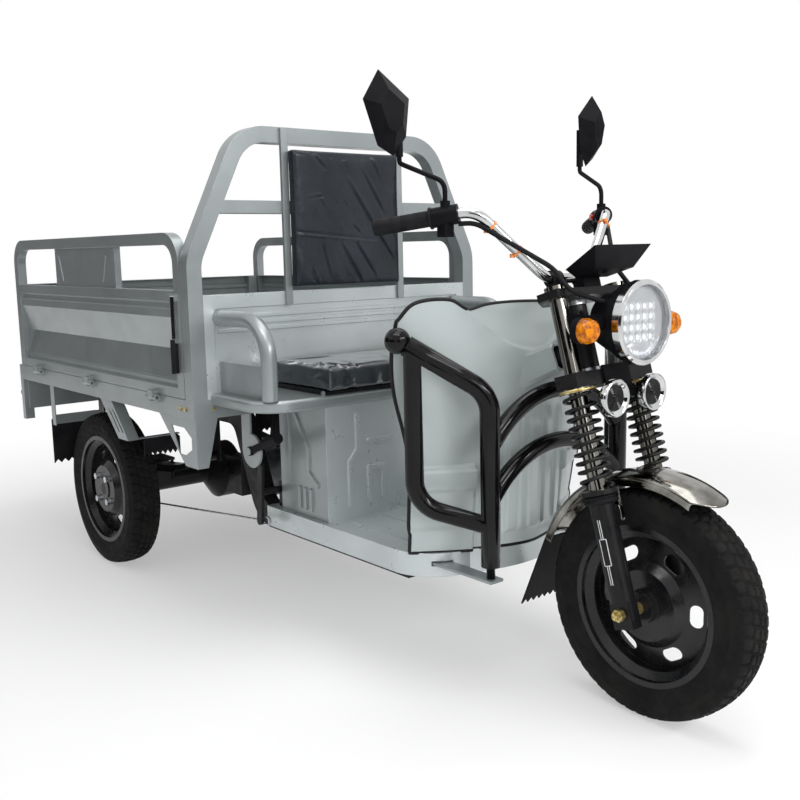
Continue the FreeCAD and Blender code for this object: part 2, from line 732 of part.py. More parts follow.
def rim(centre, outward, hub_width, bore):
    """Pressed steel wheel: dropped-centre rim, slotted dished disc and bored hub."""
    seat = BEAD_RADIUS - RUNNING_GAP
    half = RIM_WIDTH / 2
    edge = half + FLANGE_THICKNESS
    shelf = half - FLANGE_THICKNESS * 2
    well = WELL_WIDTH / 2
    side = [(WELL_RADIUS, well), (seat, shelf), (seat, half), (FLANGE_RADIUS, half), (FLANGE_RADIUS, edge)]
    inside = [(seat - RIM_WALL, edge), (seat - RIM_WALL, shelf + RIM_WALL / 2),
              (WELL_RADIUS - RIM_WALL, well + RIM_WALL / 2)]
    loop = side + inside
    far = [(radius, -along) for radius, along in reversed(loop)]
    barrel = turned(loop + far, centre, LEFT)
    face = well * outward
    dish = face + DISC_DISH * outward
    back = DISC_THICKNESS * outward
    disc_edge = WELL_RADIUS - RIM_WALL / 2
    disc_profile = [
        (disc_edge, 0), (DISC_STEP_RADIUS + DISC_DISH, face), (DISC_STEP_RADIUS, dish), (bore, dish),
        (bore, dish - back), (DISC_STEP_RADIUS, dish - back), (DISC_STEP_RADIUS + DISC_DISH, face - back),
        (disc_edge, -back),
    ]
    disc = turned(disc_profile, centre, LEFT)
    reach = LEFT * (RIM_WIDTH + OVERRUN)
    run = SLOT_LENGTH / 2 - SLOT_WIDTH / 2
    start = centre - reach
    slot = Part.makeBox(2 * run, 2 * reach.Length, SLOT_WIDTH,
                        start + V(-run, 0, SLOT_CIRCLE_RADIUS - SLOT_WIDTH / 2))
    for end in (-run, run):
        foot = start + V(end, 0, SLOT_CIRCLE_RADIUS)
        slot = slot.fuse(Part.makeCylinder(SLOT_WIDTH / 2, 2 * reach.Length, foot, LEFT))
    for index in range(SLOT_COUNT):
        cutter = slot.copy()
        cutter.rotate(centre, LEFT, (index + 0.5) * 360.0 / SLOT_COUNT)
        disc = disc.cut(cutter)
    half_hub = LEFT * (hub_width / 2)
    hub = rod(centre - half_hub, centre + half_hub, HUB_RADIUS)
    wheel = weld([barrel, disc, hub])
    return wheel.cut(rod(centre - half_hub * 2, centre + half_hub * 2, bore))


def fork_leg():
    """One lower leg: bored slider, axle lug, fender boss and spring seat, on an upright fork."""
    foot = V(0, HALF_SPAN, -LEG_DROP)
    slider = rod(V(0, HALF_SPAN, -LEG_DROP / 2), V(0, HALF_SPAN, LEG_TOP), LEG_RADIUS)
    lug = box(-LUG_LENGTH / 2, LUG_LENGTH / 2, HALF_SPAN - LUG_THICKNESS / 2, HALF_SPAN + LUG_THICKNESS / 2,
              foot.z, LUG_LENGTH / 2)
    trim = box(-LUG_LENGTH, LUG_LENGTH, HALF_SPAN - LEG_RADIUS - OVERRUN, HALF_SPAN - LUG_THICKNESS / 2,
               foot.z - OVERRUN, LUG_LENGTH / 2)
    far_trim = box(-LUG_LENGTH, LUG_LENGTH, HALF_SPAN + LUG_THICKNESS / 2, HALF_SPAN + LEG_RADIUS + OVERRUN,
                   foot.z - OVERRUN, LUG_LENGTH / 2)
    seat = rod(V(0, HALF_SPAN, LEG_TOP - SPRING_SEAT_HEIGHT), V(0, HALF_SPAN, LEG_TOP), SPRING_SEAT_RADIUS)
    boss = box(-STAY_BOSS_WIDTH / 2, STAY_BOSS_WIDTH / 2, FENDER_HALF_WIDTH + STAY_BOSS_GAP, HALF_SPAN,
               STAY_BOSS_LOW, STAY_BOSS_LOW + STAY_BOSS_HEIGHT)
    leg = fuse([slider.cut(trim).cut(far_trim), lug, boss, seat])
    bore = rod(V(0, HALF_SPAN, LEG_BORE_FLOOR), V(0, HALF_SPAN, LEG_TOP + OVERRUN),
               FORK_TUBE_RADIUS + RUNNING_GAP)
    reach = LUG_THICKNESS
    hole = rod(V(0, HALF_SPAN - reach, 0), V(0, HALF_SPAN + reach, 0), FRONT_AXLE_RADIUS + RUNNING_GAP / 2)
    return leg.cut(bore).cut(hole)


def front_axle():
    """Spindle with spacers against the lugs and a nut on each end."""
    hub_face = FRONT_HUB_WIDTH / 2
    lug_in = HALF_SPAN - LUG_THICKNESS / 2
    lug_out = HALF_SPAN + LUG_THICKNESS / 2
    end = lug_out + AXLE_NUT_LENGTH + AXLE_END_LENGTH
    spindle = rod(V(0, -end, 0), V(0, end, 0), FRONT_AXLE_RADIUS)
    pieces = [spindle]
    for side in (-1, 1):
        pieces.append(rod(V(0, side * hub_face, 0), V(0, side * lug_in, 0), SPACER_RADIUS))
        corners = []
        for step in range(6):
            turn = math.radians(60 * step)
            corners.append(V(AXLE_NUT_RADIUS * math.cos(turn), side * lug_out,
                             AXLE_NUT_RADIUS * math.sin(turn)))
        pieces.append(plate(corners, V(0, side * AXLE_NUT_LENGTH, 0)))
    axle = fuse(pieces)
    axle.translate(V(AXLE_X, 0, AXLE_Z))
    return axle


def fork_spring():
    """Sleeve that holds the place of the coil spring round the fork tube."""
    start = V(0, HALF_SPAN, LEG_TOP)
    end = V(0, HALF_SPAN, SPRING_TOP)
    return ring(start, end, SPRING_MEAN_RADIUS + SPRING_WIRE_RADIUS,
                SPRING_MEAN_RADIUS - SPRING_WIRE_RADIUS)


def fork_tube():
    """One upper fork tube with its spring collar and top cap, on an upright fork."""
    top = UPPER_YOKE_BOTTOM + UPPER_YOKE_HEIGHT
    shank = rod(V(0, HALF_SPAN, FORK_TUBE_BOTTOM), V(0, HALF_SPAN, top), FORK_TUBE_RADIUS)
    collar = rod(V(0, HALF_SPAN, SPRING_TOP), V(0, HALF_SPAN, YOKE_BOTTOM), SPRING_SEAT_RADIUS)
    cap = rod(V(0, HALF_SPAN, top), V(0, HALF_SPAN, top + FORK_CAP_HEIGHT), FORK_CAP_RADIUS)
    return fuse([shank, collar, cap])


def yoke_plate(bottom, height):
    """Yoke blank that joins both fork tubes to the stem, with rounded ends."""
    back = -YOKE_BACK
    waist = BEARING_RADIUS + RISER_SIZE
    outer = HALF_SPAN + YOKE_MARGIN
    outline = [
        V(YOKE_FRONT, -outer, bottom), V(YOKE_FRONT, outer, bottom), V(-YOKE_FRONT, outer, bottom),
        V(back, waist, bottom), V(back, -waist, bottom), V(-YOKE_FRONT, -outer, bottom),
    ]
    blank = plate(outline, V(0, 0, height))
    for side in (-1, 1):
        start = V(0, side * HALF_SPAN, bottom - OVERRUN)
        end = V(0, side * HALF_SPAN, bottom + height + OVERRUN)
        blank = blank.cut(rod(start, end, FORK_TUBE_RADIUS + RUNNING_GAP / 2))
    return blank


def steering_stem():
    """Lower yoke with the steering stem that turns in the head tube."""
    stem = rod(V(-STEM_OFFSET, 0, YOKE_BOTTOM), V(-STEM_OFFSET, 0, UPPER_YOKE_BOTTOM), STEM_RADIUS)
    return to_fork(fuse([yoke_plate(YOKE_BOTTOM, LOWER_YOKE_HEIGHT), stem]))


def upper_yoke():
    """Upper yoke with the two risers that clamp the handlebar and the stem nut."""
    top = UPPER_YOKE_BOTTOM + UPPER_YOKE_HEIGHT
    pieces = [yoke_plate(UPPER_YOKE_BOTTOM, UPPER_YOKE_HEIGHT)]
    half = RISER_SIZE / 2
    for side in (-1, 1):
        y = side * RISER_SPAN / 2
        clamp = box(-STEM_OFFSET - half, -STEM_OFFSET + half, y - half, y + half, top - half / 2,
                    top + BAR_RISE)
        knuckle = rod(V(-STEM_OFFSET, y - half, top + BAR_RISE), V(-STEM_OFFSET, y + half, top + BAR_RISE),
                      BAR_RADIUS + half / 2)
        pieces.extend([clamp, knuckle])
    pieces.append(rod(V(-STEM_OFFSET, 0, top - half / 2), V(-STEM_OFFSET, 0, top + FORK_CAP_HEIGHT),
                      STEM_RADIUS))
    blank = fuse(pieces)
    bar_line = rod(V(-STEM_OFFSET, -HALF_SPAN, top + BAR_RISE), V(-STEM_OFFSET, HALF_SPAN, top + BAR_RISE),
                   BAR_RADIUS)
    return to_fork(blank.cut(bar_line))


def head_bearings():
    """Bearing rings between the head tube and the yokes."""
    low = YOKE_BOTTOM + LOWER_YOKE_HEIGHT
    high = UPPER_YOKE_BOTTOM
    bore = STEM_RADIUS + RUNNING_GAP
    rings = []
    for start, end in ((low + RUNNING_GAP, low + BEARING_HEIGHT), (high - BEARING_HEIGHT, high - RUNNING_GAP)):
        rings.append(ring(V(-STEM_OFFSET, 0, start), V(-STEM_OFFSET, 0, end), BEARING_RADIUS, bore))
    return to_fork(Part.makeCompound(rings))


def bar_points(side):
    """Handlebar line from its clamp to one end."""
    centre = fork_point(-STEM_OFFSET, 0, UPPER_YOKE_BOTTOM + UPPER_YOKE_HEIGHT + BAR_RISE)
    return [
        centre,
        centre + V(0, side * BAR_FLAT_HALF, 0),
        centre + V(-BAR_SHOULDER_BACK, side * BAR_SHOULDER_HALF, BAR_SHOULDER_RISE),
        centre + V(-BAR_END_BACK, side * BAR_END_HALF, BAR_END_RISE),
    ]


def bar_place(side, from_end):
    """A place on the grip run of the bar, measured back from its end, with the outward heading."""
    shoulder, end = bar_points(side)[2:]
    outward = (end - shoulder).normalize()
    return end - outward * from_end, outward


def handlebar():
    """One bent tube from grip to grip."""
    right = bar_points(-1)
    left = bar_points(1)
    return tube(right[:0:-1] + left[1:], BAR_BEND, BAR_RADIUS, BAR_WALL)


def grip(side):
    """Sleeve on the bar end with an inner flange."""
    end, outward = bar_place(side, 0)
    inner, outward = bar_place(side, GRIP_LENGTH)
    flange_end, outward = bar_place(side, GRIP_LENGTH - GRIP_FLANGE_LENGTH)
    sleeve = rod(inner, end, GRIP_RADIUS).fuse(rod(inner, flange_end, GRIP_FLANGE_RADIUS))
    bore_start, outward = bar_place(side, GRIP_LENGTH + OVERRUN)
    bore_end, outward = bar_place(side, -OVERRUN)
    return sleeve.cut(rod(bore_start, bore_end, BAR_RADIUS + RUNNING_GAP)).removeSplitter()


def switch_housing(side):
    """Clamp-on housing inboard of the grip, with a lower lobe and a mirror boss on top."""
    outer, outward = bar_place(side, GRIP_LENGTH + RUNNING_GAP)
    inner, outward = bar_place(side, GRIP_LENGTH + RUNNING_GAP + SWITCH_LENGTH)
    barrel = rod(inner, outer, SWITCH_RADIUS)
    middle = (inner + outer) / 2
    half = SWITCH_DEPTH / 2
    lobe = box(middle.x - half, middle.x + half, middle.y - half, middle.y + half,
               middle.z - SWITCH_RADIUS - SWITCH_DROP + half, middle.z)
    boss_top = middle + UP * (SWITCH_RADIUS + MIRROR_BOSS_RADIUS)
    boss = rod(middle, boss_top, MIRROR_BOSS_RADIUS)
    pieces = [barrel, lobe, boss]
    if side > 0:
        pieces.append(rod(middle, button_face(), BUTTON_BOSS_RADIUS))
    housing = fuse(pieces)
    if side > 0:
        depth = button_push() * (BUTTON_ROOT + BUTTON_TRAVEL + RUNNING_GAP)
        mouth = button_face() - button_push() * OVERRUN
        housing = housing.cut(rod(button_face() + depth, mouth, BUTTON_RADIUS + RUNNING_GAP))
    start, outward = bar_place(side, GRIP_LENGTH)
    far, outward = bar_place(side, GRIP_LENGTH + SWITCH_LENGTH + OVERRUN)
    return housing.cut(rod(start, far, BAR_RADIUS + RUNNING_GAP / 2))


def switch_middle(side):
    """Centre of a switch housing on the bar line."""
    return bar_place(side, GRIP_LENGTH + RUNNING_GAP + SWITCH_LENGTH / 2)[0]


def button_push():
    """Way the horn button is pressed: level and square to the bar."""
    outward = bar_place(1, GRIP_LENGTH)[1]
    return outward.cross(UP).normalize()


def button_face():
    """Middle of the button boss on the back of the left housing."""
    return switch_middle(1) - button_push() * SWITCH_RADIUS


def horn_button():
    """Push button in its recess on the back of the left housing."""
    face = button_face()
    return rod(face + button_push() * BUTTON_ROOT, face - button_push() * BUTTON_LENGTH, BUTTON_RADIUS)


def mirror_points(side):
    """Mirror stem line from the switch housing to the mirror head."""
    foot = switch_middle(side) + UP * (SWITCH_RADIUS + MIRROR_BOSS_RADIUS)
    lean = V(-MIRROR_STEM_LEAN, side * MIRROR_STEM_SPREAD, MIRROR_STEM_RISE)
    knee = foot + UP * (MIRROR_STEM_RISE * MIRROR_FOOT_SHARE)
    tip = foot + lean
    return [foot, knee, tip - UP * (MIRROR_STEM_RISE * MIRROR_TIP_SHARE), tip]


def mirror_stem(side):
    """Bent rod that carries a mirror."""
    return round_sweep(mirror_points(side), BAR_BEND, MIRROR_STEM_RADIUS)


def mirror_head(side):
    """Faceted mirror shell, thick at its middle and thin at its rim, above the stem's end."""
    top = mirror_points(side)[-1]
    centre = top + V(0, side * MIRROR_WIDTH * MIRROR_OFFSET_SHARE, MIRROR_HEIGHT / 2 + RUNNING_GAP)
    rim_line = []
    back_line = []
    for across_share, up_share in MIRROR_OUTLINE_SHARES:
        across = side * across_share * MIRROR_WIDTH
        up = up_share * MIRROR_HEIGHT
        rim_line.append(V(0, across, up))
        back_line.append(V(MIRROR_DEPTH, across * MIRROR_BACK_SHARE, up * MIRROR_BACK_SHARE))
    shell = Part.makeLoft([Part.makePolygon(rim_line + rim_line[:1]),
                           Part.makePolygon(back_line + back_line[:1])],
                          True, True)
    shell.rotate(ORIGIN, UP, side * MIRROR_YAW_DEGREES)
    shell.translate(centre)
    neck = rod(top, V(top.x, top.y, centre.z), MIRROR_NECK_RADIUS)
    return fuse([shell, neck])


def control_cables():
    """Two wiring sleeves that follow the bar from each housing down to the headlight."""
    sleeves = []
    drop = UP * (BAR_RADIUS + CABLE_RADIUS + CABLE_STANDOFF)
    for side in (-1, 1):
        start, outer_way = bar_place(side, GRIP_LENGTH + RUNNING_GAP + SWITCH_LENGTH)
        shoulder = bar_points(side)[2]
        flat = bar_points(side)[1]
        over_yoke = V(flat.x + CABLE_REACH, side * CABLE_HALF_SPAN, flat.z + CABLE_RISE)
        turn_down = V(over_yoke.x + CABLE_REACH, over_yoke.y, over_yoke.z - CABLE_REACH)
        depth_share, height_share = CABLE_ENTRY_SHARES
        entry = lamp_place(LAMP_DEPTH * depth_share) + V(0, side * LAMP_BACK_RADIUS,
                                                         LAMP_BACK_RADIUS * height_share)
        points = [start - drop, shoulder - drop * CABLE_DROP_SHARE, over_yoke, turn_down, entry]
        sleeves.append(round_sweep(points, BAR_BEND, CABLE_RADIUS))
    return Part.makeCompound(sleeves)


def lamp_place(back):
    """A place on the headlight axis, measured back from its face."""
    return V(AXLE_X - LAMP_FACE_BACK - back, 0, LAMP_Z)


def headlight_shell():
    """Hollow bowl of the headlight with ears that clamp the fork tubes and hold the signals."""
    seat = LAMP_RADIUS - LAMP_RING_WIDTH / 2
    bowl_profile = [
        (0, LAMP_DEPTH), (LAMP_BACK_RADIUS, LAMP_DEPTH), (seat, LAMP_RING_DEPTH * 2), (seat,
                                                                                       LAMP_RING_DEPTH),
        (seat - LAMP_WALL, LAMP_RING_DEPTH), (seat - LAMP_WALL, LAMP_RING_DEPTH * 2),
        (LAMP_BACK_RADIUS - LAMP_WALL, LAMP_DEPTH - LAMP_WALL), (0, LAMP_DEPTH - LAMP_WALL),
    ]
    bowl = turned(bowl_profile, lamp_place(0), FORWARD * -1)
    inside = turned([(0, LAMP_RING_DEPTH), (seat - LAMP_WALL, LAMP_RING_DEPTH),
                     (seat - LAMP_WALL, LAMP_RING_DEPTH * 2),
                     (LAMP_BACK_RADIUS - LAMP_WALL, LAMP_DEPTH - LAMP_WALL), (0, LAMP_DEPTH - LAMP_WALL)],
                    lamp_place(0), FORWARD * -1)
    boss_centre = lamp_place(EAR_BOSS_BACK)
    pieces = [bowl]
    for side in (-1, 1):
        inner = side * (HALF_SPAN - EAR_THICKNESS / 2)
        reach = boss_centre + V(0, inner, 0)
        cup = boss_centre + V(0, side * SIGNAL_Y, -SIGNAL_DROP)
        pieces.append(rod(boss_centre + V(0, side * LAMP_BACK_RADIUS, 0),
                          reach + V(0, side * EAR_THICKNESS, 0),
                          EAR_BOSS_RADIUS))
        half = V(0, 0, EAR_HEIGHT / 2)
        tube_place = fork_point(0, inner, (LAMP_Z - AXLE_Z) / math.cos(math.radians(RAKE_DEGREES)))
        ear = [reach + half, tube_place + half, tube_place - half, reach - half]
        pieces.append(plate(ear, V(0, side * EAR_THICKNESS, 0)))
        pieces.append(rod(reach, cup, SIGNAL_STALK_RADIUS))
        cup_depth = FORWARD * SIGNAL_CUP_DEPTH
        pieces.append(rod(cup - cup_depth, cup + cup_depth, SIGNAL_RADIUS))
    shell = fuse(pieces).cut(inside)
    for side in (-1, 1):
        hole = rod(fork_point(0, side * HALF_SPAN, YOKE_BOTTOM),
                   fork_point(0, side * HALF_SPAN, UPPER_YOKE_BOTTOM),
                   FORK_TUBE_RADIUS + RUNNING_GAP / 2)
        shell = shell.cut(hole)
    return max(shell.Solids, key=lambda solid: solid.Volume)


def headlight_ring():
    """Bright ring that holds the lens to the bowl."""
    inner = LAMP_RADIUS - LAMP_RING_WIDTH
    lip = LENS_THICKNESS
    profile = [(inner, 0), (LAMP_RADIUS - lip, 0), (LAMP_RADIUS, lip), (LAMP_RADIUS, LAMP_RING_DEPTH),
               (inner - lip, LAMP_RING_DEPTH), (inner - lip, LAMP_RING_DEPTH - lip),
               (inner, LAMP_RING_DEPTH - lip)]
    return turned(profile, lamp_place(0), FORWARD * -1)


def headlight_lens():
    """Clear lens with a shallow crown, seated on the inner lip of the ring."""
    radius = LAMP_RADIUS - LAMP_RING_WIDTH - RUNNING_GAP
    seat = LAMP_RING_DEPTH - LENS_THICKNESS
    profile = [(0, seat), (radius, seat), (radius, seat - LENS_THICKNESS)]
    for out_share, crown_share in LENS_CROWN_SHARES:
        profile.append((radius * out_share, seat - LENS_THICKNESS - LENS_CROWN * crown_share))
    return turned(profile, lamp_place(0), FORWARD * -1)


def turn_signal():
    """Domed signal lens on the front of its cup."""
    foot = lamp_place(EAR_BOSS_BACK) + V(SIGNAL_CUP_DEPTH, SIGNAL_Y, -SIGNAL_DROP)
    radius = SIGNAL_RADIUS - RUNNING_GAP
    profile = [(0, 0)]
    for out_share, depth_share in SIGNAL_DOME_SHARES:
        profile.append((radius * out_share, SIGNAL_DEPTH * depth_share))
    return turned(profile, foot, FORWARD)


def horn_set():
    """Two round horns on a strap that is bolted to the front of the lower yoke."""
    middle = YOKE_BOTTOM + LOWER_YOKE_HEIGHT / 2
    strap = box(YOKE_FRONT, YOKE_FRONT + HORN_STRAP_THICKNESS, -HORN_STRAP_HALF, HORN_STRAP_HALF,
                middle - HORN_RADIUS, middle + HORN_RADIUS * HORN_STRAP_TOP_SHARE)
    pieces = [to_fork(strap)]
    strap_face = fork_point(YOKE_FRONT, 0, middle)
    face_x = AXLE_X - HORN_BACK
    for side in (-1, 1):
        centre = V(face_x, side * HORN_HALF_SPAN, HORN_Z)
        rim_in = HORN_RADIUS - HORN_RIM
        profile = [(0, -HORN_BOWL_DEPTH), (rim_in, -HORN_BOWL_DEPTH / 2), (rim_in, 0), (HORN_RADIUS, 0),
                   (HORN_RADIUS, -HORN_BOWL_DEPTH), (HORN_RADIUS * HORN_BACK_SHARE, -HORN_DEPTH),
                   (0, -HORN_DEPTH)]
        pieces.append(turned(profile, centre, FORWARD))
        depth_share, half_share = HORN_ARM_SHARES
        arm_start = centre - FORWARD * (HORN_BOWL_DEPTH * depth_share)
        arm_end = V(strap_face.x, side * HORN_STRAP_HALF * half_share, HORN_Z)
        pieces.append(rod(arm_start, arm_end, HORN_RIM * 2))
    shape = fuse(pieces)
    trim = to_fork(box(-YOKE_BACK, YOKE_FRONT, -HALF_SPAN, HALF_SPAN, YOKE_BOTTOM - HALF_SPAN,
                       UPPER_YOKE_BOTTOM))
    return shape.cut(trim)


def display_housing():
    """Wedge-shaped instrument housing that faces the rider, on a stalk from the upper yoke."""
    front = AXLE_X - DISPLAY_FRONT_BACK
    half = DISPLAY_WIDTH / 2
    base_half = DISPLAY_BASE_WIDTH / 2
    low = DISPLAY_TOP_Z - DISPLAY_DROP
    base = DISPLAY_TOP_Z - DISPLAY_BASE_DROP
    low_half = half * DISPLAY_LOW_SHARE
    face = [V(front, -half, DISPLAY_TOP_Z), V(front, half, DISPLAY_TOP_Z),
            V(front - DISPLAY_DEPTH, low_half, low), V(front - DISPLAY_DEPTH, -low_half, low)]
    under = []
    for side, (back_share, half_share, rise_share) in zip((-1, 1), DISPLAY_UNDER_SHARES):
        corner = V(front - DISPLAY_DEPTH * back_share, side * base_half * half_share,
                   base + DISPLAY_DROP * rise_share)
        under.extend([corner, V(corner.x, -corner.y, corner.z)])
    wedge = Part.makeLoft([Part.makePolygon(face + face[:1]), Part.makePolygon(under + under[:1])], True,
                          True)
    top = UPPER_YOKE_BOTTOM + UPPER_YOKE_HEIGHT
    stalk = to_fork(box(0, DISPLAY_STALK_DEPTH, -DISPLAY_STALK_HALF, DISPLAY_STALK_HALF, top,
                        top + DISPLAY_DROP))
    rise_share, back_share, thick_share = DISPLAY_LINK_SHARES
    stalk_top = fork_point(DISPLAY_STALK_DEPTH / 2, 0, top + DISPLAY_DROP * rise_share)
    link = rod(stalk_top, V(front - DISPLAY_DEPTH * back_share, 0, low), DISPLAY_STALK_DEPTH * thick_share)
    return fuse([wedge, stalk, link])


def front_fender():
    """Arched fender with turned-down lips, a crowned back and a stay to each fork leg."""
    half = FENDER_HALF_WIDTH
    radius = FENDER_RADIUS
    outer = [(radius - FENDER_LIP, half), (radius, half), (radius + FENDER_CROWN, half / 2)]
    section = outer + [(r, -y) for r, y in reversed(outer)]
    inner = [(r - SHEET, y * (1 - SHEET / half)) for r, y in outer]
    inner[0] = (radius - FENDER_LIP, half - SHEET)
    section += [(r, -y) for r, y in inner] + list(reversed(inner))
    sweep = FENDER_REAR_DEGREES - FENDER_FRONT_DEGREES
    hub = V(0, 0, 0)
    arch = turned(section, hub, LEFT, sweep)
    arch.rotate(hub, LEFT, 90.0 - FENDER_REAR_DEGREES)
    arch.rotate(hub, LEFT, RAKE_DEGREES)
    stays = []
    for side in (-1, 1):
        y_in = side * (half - SHEET)
        y_out = side * (half + STAY_BOSS_GAP)
        stay = box(-STAY_BOSS_WIDTH / 2, STAY_BOSS_WIDTH / 2, min(y_in, y_out), max(y_in, y_out),
                   STAY_BOSS_LOW, STAY_BOSS_LOW + STAY_BOSS_HEIGHT)
        strap_in = side * half
        strap = box(-STAY_BOSS_WIDTH / 2, STAY_BOSS_WIDTH / 2, min(y_in, strap_in), max(y_in, strap_in),
                    STAY_BOSS_LOW, radius)
        stays.extend([stay, strap])
    return to_fork(fuse([arch] + stays))


def front_mud_flap():
    """Rubber flap that carries on from the rear end of the fender, with a saw-tooth edge."""
    half = FENDER_HALF_WIDTH - SHEET
    wide = half + FLAP_FLARE
    outline = [V(0, -half, 0), V(0, half, 0), V(0, wide, -FLAP_LENGTH)]
    step = 2 * wide / FLAP_TEETH
    for tooth in range(FLAP_TEETH):
        y = wide - step * tooth
        outline.append(V(0, y - step / 2, -FLAP_LENGTH + FLAP_TOOTH_DEPTH))
        outline.append(V(0, y - step, -FLAP_LENGTH))
    flap = plate(outline, V(FLAP_THICKNESS, 0, 0))
    flap.translate(V(-FENDER_RADIUS, 0, 0))
    flap.rotate(ORIGIN, LEFT, 180.0 - FENDER_REAR_DEGREES)
    flap.translate(V(AXLE_X, 0, AXLE_Z))
    return flap


def floor_outline(z, inset):
    """Level wire round the floor pan: square tail, rounded front corners and a bowed nose."""
    half = FLOOR_WIDTH / 2 - inset
    tail = BOX_FRONT_X - FLOOR_TAIL + inset
    nose = AXLE_X - FLOOR_SETBACK - inset
    corner = FLOOR_CORNER_RADIUS
    shoulder = nose - FLOOR_NOSE_BULGE
    slope = math.sqrt(0.5)
    bend = corner * (1 - slope)
    edges = [
        Part.makeLine(V(tail, half, z), V(tail, -half, z)),
        Part.makeLine(V(tail, -half, z), V(shoulder - corner, -half, z)),
        Part.Arc(V(shoulder - corner, -half, z), V(shoulder - bend, -half + bend, z),
                 V(shoulder, -half + corner, z)).toShape(),
        Part.Arc(V(shoulder, -half + corner, z), V(nose, 0, z), V(shoulder, half - corner, z)).toShape(),
        Part.Arc(V(shoulder, half - corner, z), V(shoulder - bend, half - bend, z),
                 V(shoulder - corner, half, z)).toShape(),
        Part.makeLine(V(shoulder - corner, half, z), V(tail, half, z)),
    ]
    return Part.Wire(edges)


def floor_pan():
    """Pressed floor pan, open below, with long foot ribs, pedal lugs and a hole for the neck."""
    skin = Part.Face(floor_outline(FLOOR_BOTTOM_Z, 0)).extrude(V(0, 0, FLOOR_DEPTH))
    hollow = Part.Face(floor_outline(FLOOR_BOTTOM_Z - OVERRUN, SHEET)).extrude(V(0, 0,
                                                                                 FLOOR_DEPTH + OVERRUN - SHEET))
    tail = BOX_FRONT_X - FLOOR_TAIL
    open_half = FLOOR_WIDTH / 2 - SHEET
    pan = skin.cut(hollow).cut(box(tail - OVERRUN, tail + OVERRUN, -open_half, open_half,
                                   FLOOR_BOTTOM_Z - OVERRUN,
                                   FLOOR_TOP_Z - SHEET))
    start = AXLE_X - SEAT_BOX_SETBACK + FLOOR_RIB_MARGIN * FLOOR_RIB_END_SHARE
    end = AXLE_X - SHIELD_BACK - FLOOR_RIB_MARGIN * FLOOR_RIB_END_SHARE
    step = (FLOOR_WIDTH - 2 * FLOOR_RIB_MARGIN) / (FLOOR_RIB_COUNT - 1)
    ribs = []
    for index in range(FLOOR_RIB_COUNT):
        y = -FLOOR_WIDTH / 2 + FLOOR_RIB_MARGIN + index * step
        ribs.append(box(start, end, y - FLOOR_RIB_WIDTH / 2, y + FLOOR_RIB_WIDTH / 2,
                        FLOOR_TOP_Z - SHEET / 2, FLOOR_TOP_Z + FLOOR_RIB_HEIGHT))
    pivot = V(AXLE_X - PEDAL_BACK, -PEDAL_Y, PEDAL_PIVOT_Z)
    for side in (-1, 1):
        near = side * (PEDAL_ARM_WIDTH / 2 + PEDAL_LUG_GAP)
        far = near + side * PEDAL_LUG_THICKNESS
        lug = box(pivot.x - PEDAL_ARM_WIDTH, pivot.x + PEDAL_ARM_WIDTH, pivot.y + min(near, far),
                  pivot.y + max(near, far), FLOOR_TOP_Z - SHEET / 2, pivot.z + PEDAL_ARM_WIDTH)
        ribs.append(lug)
    pan = fuse([pan] + ribs)
    reach = LEFT * (PEDAL_ARM_WIDTH + OVERRUN)
    pan = pan.cut(rod(pivot - reach, pivot + reach, PEDAL_PIN_RADIUS))
    neck_x = AXLE_X - NECK_FOOT_BACK
    hole = NECK_RADIUS + FLOOR_HOLE_MARGIN
    pan = pan.cut(box(neck_x - hole, neck_x + hole, -hole, hole, FLOOR_BOTTOM_Z, FLOOR_TOP_Z + OVERRUN))
    shaft = shaft_centre()
    for side in (-1, 1):
        y = side * RAIL_Y
        notch = SHAFT_LUG_THICKNESS / 2 + SHEET
        room = SHAFT_LUG_HALF + SHEET
        pan = pan.cut(box(shaft.x - room, shaft.x + room, y - notch, y + notch, FLOOR_BOTTOM_Z,
                          FLOOR_TOP_Z + OVERRUN))
        y = side * GUARD_FRONT_HALF
        slot = GUARD_LUG_WIDTH / 2 + SHEET
        pan = pan.cut(box(AXLE_X - RAIL_NOSE_BACK, AXLE_X - GUARD_FRONT_BACK, y - slot, y + slot,
                          GUARD_LUG_Z - SHEET, GUARD_LUG_Z + GUARD_LUG_THICKNESS + SHEET))
    return pan


def frame_rail(side):
    """One box-section rail that kicks up from the floor to the load bed."""
    y = side * RAIL_Y
    kick = BOX_FRONT_X - RAIL_KICK_START
    points = [
        V(AXLE_X - RAIL_NOSE_BACK, y, RAIL_LOW_Z), V(kick, y, RAIL_LOW_Z),
        V(kick - RAIL_KICK_LENGTH, y, RAIL_HIGH_Z), V(BOX_REAR_X + BED_CHANNEL, y, RAIL_HIGH_Z),
    ]
    return box_tube(points, RAIL_BEND, LEFT, RAIL_WIDTH, RAIL_HEIGHT, RAIL_WALL)


def leaf_eye_places():
    """The two ends of a leaf spring at rest."""
    z = leaf_centre_z() - math.sqrt(leaf_radius() ** 2 - LEAF_HALF_LENGTH ** 2)
    return [V(REAR_X - LEAF_HALF_LENGTH, 0, z), V(REAR_X + LEAF_HALF_LENGTH, 0, z)]


def leaf_radius():
    """Radius of the upper face of the main leaf."""
    return (LEAF_HALF_LENGTH ** 2 + LEAF_CAMBER ** 2) / (2 * LEAF_CAMBER)


def leaf_centre_z():
    """Height of the centre of the leaf's curve, with the stack seated on the axle pad."""
    seat = AXLE_Z + AXLE_TUBE_RADIUS + LEAF_PAD
    return seat + LEAF_COUNT * LEAF_THICKNESS + leaf_radius()


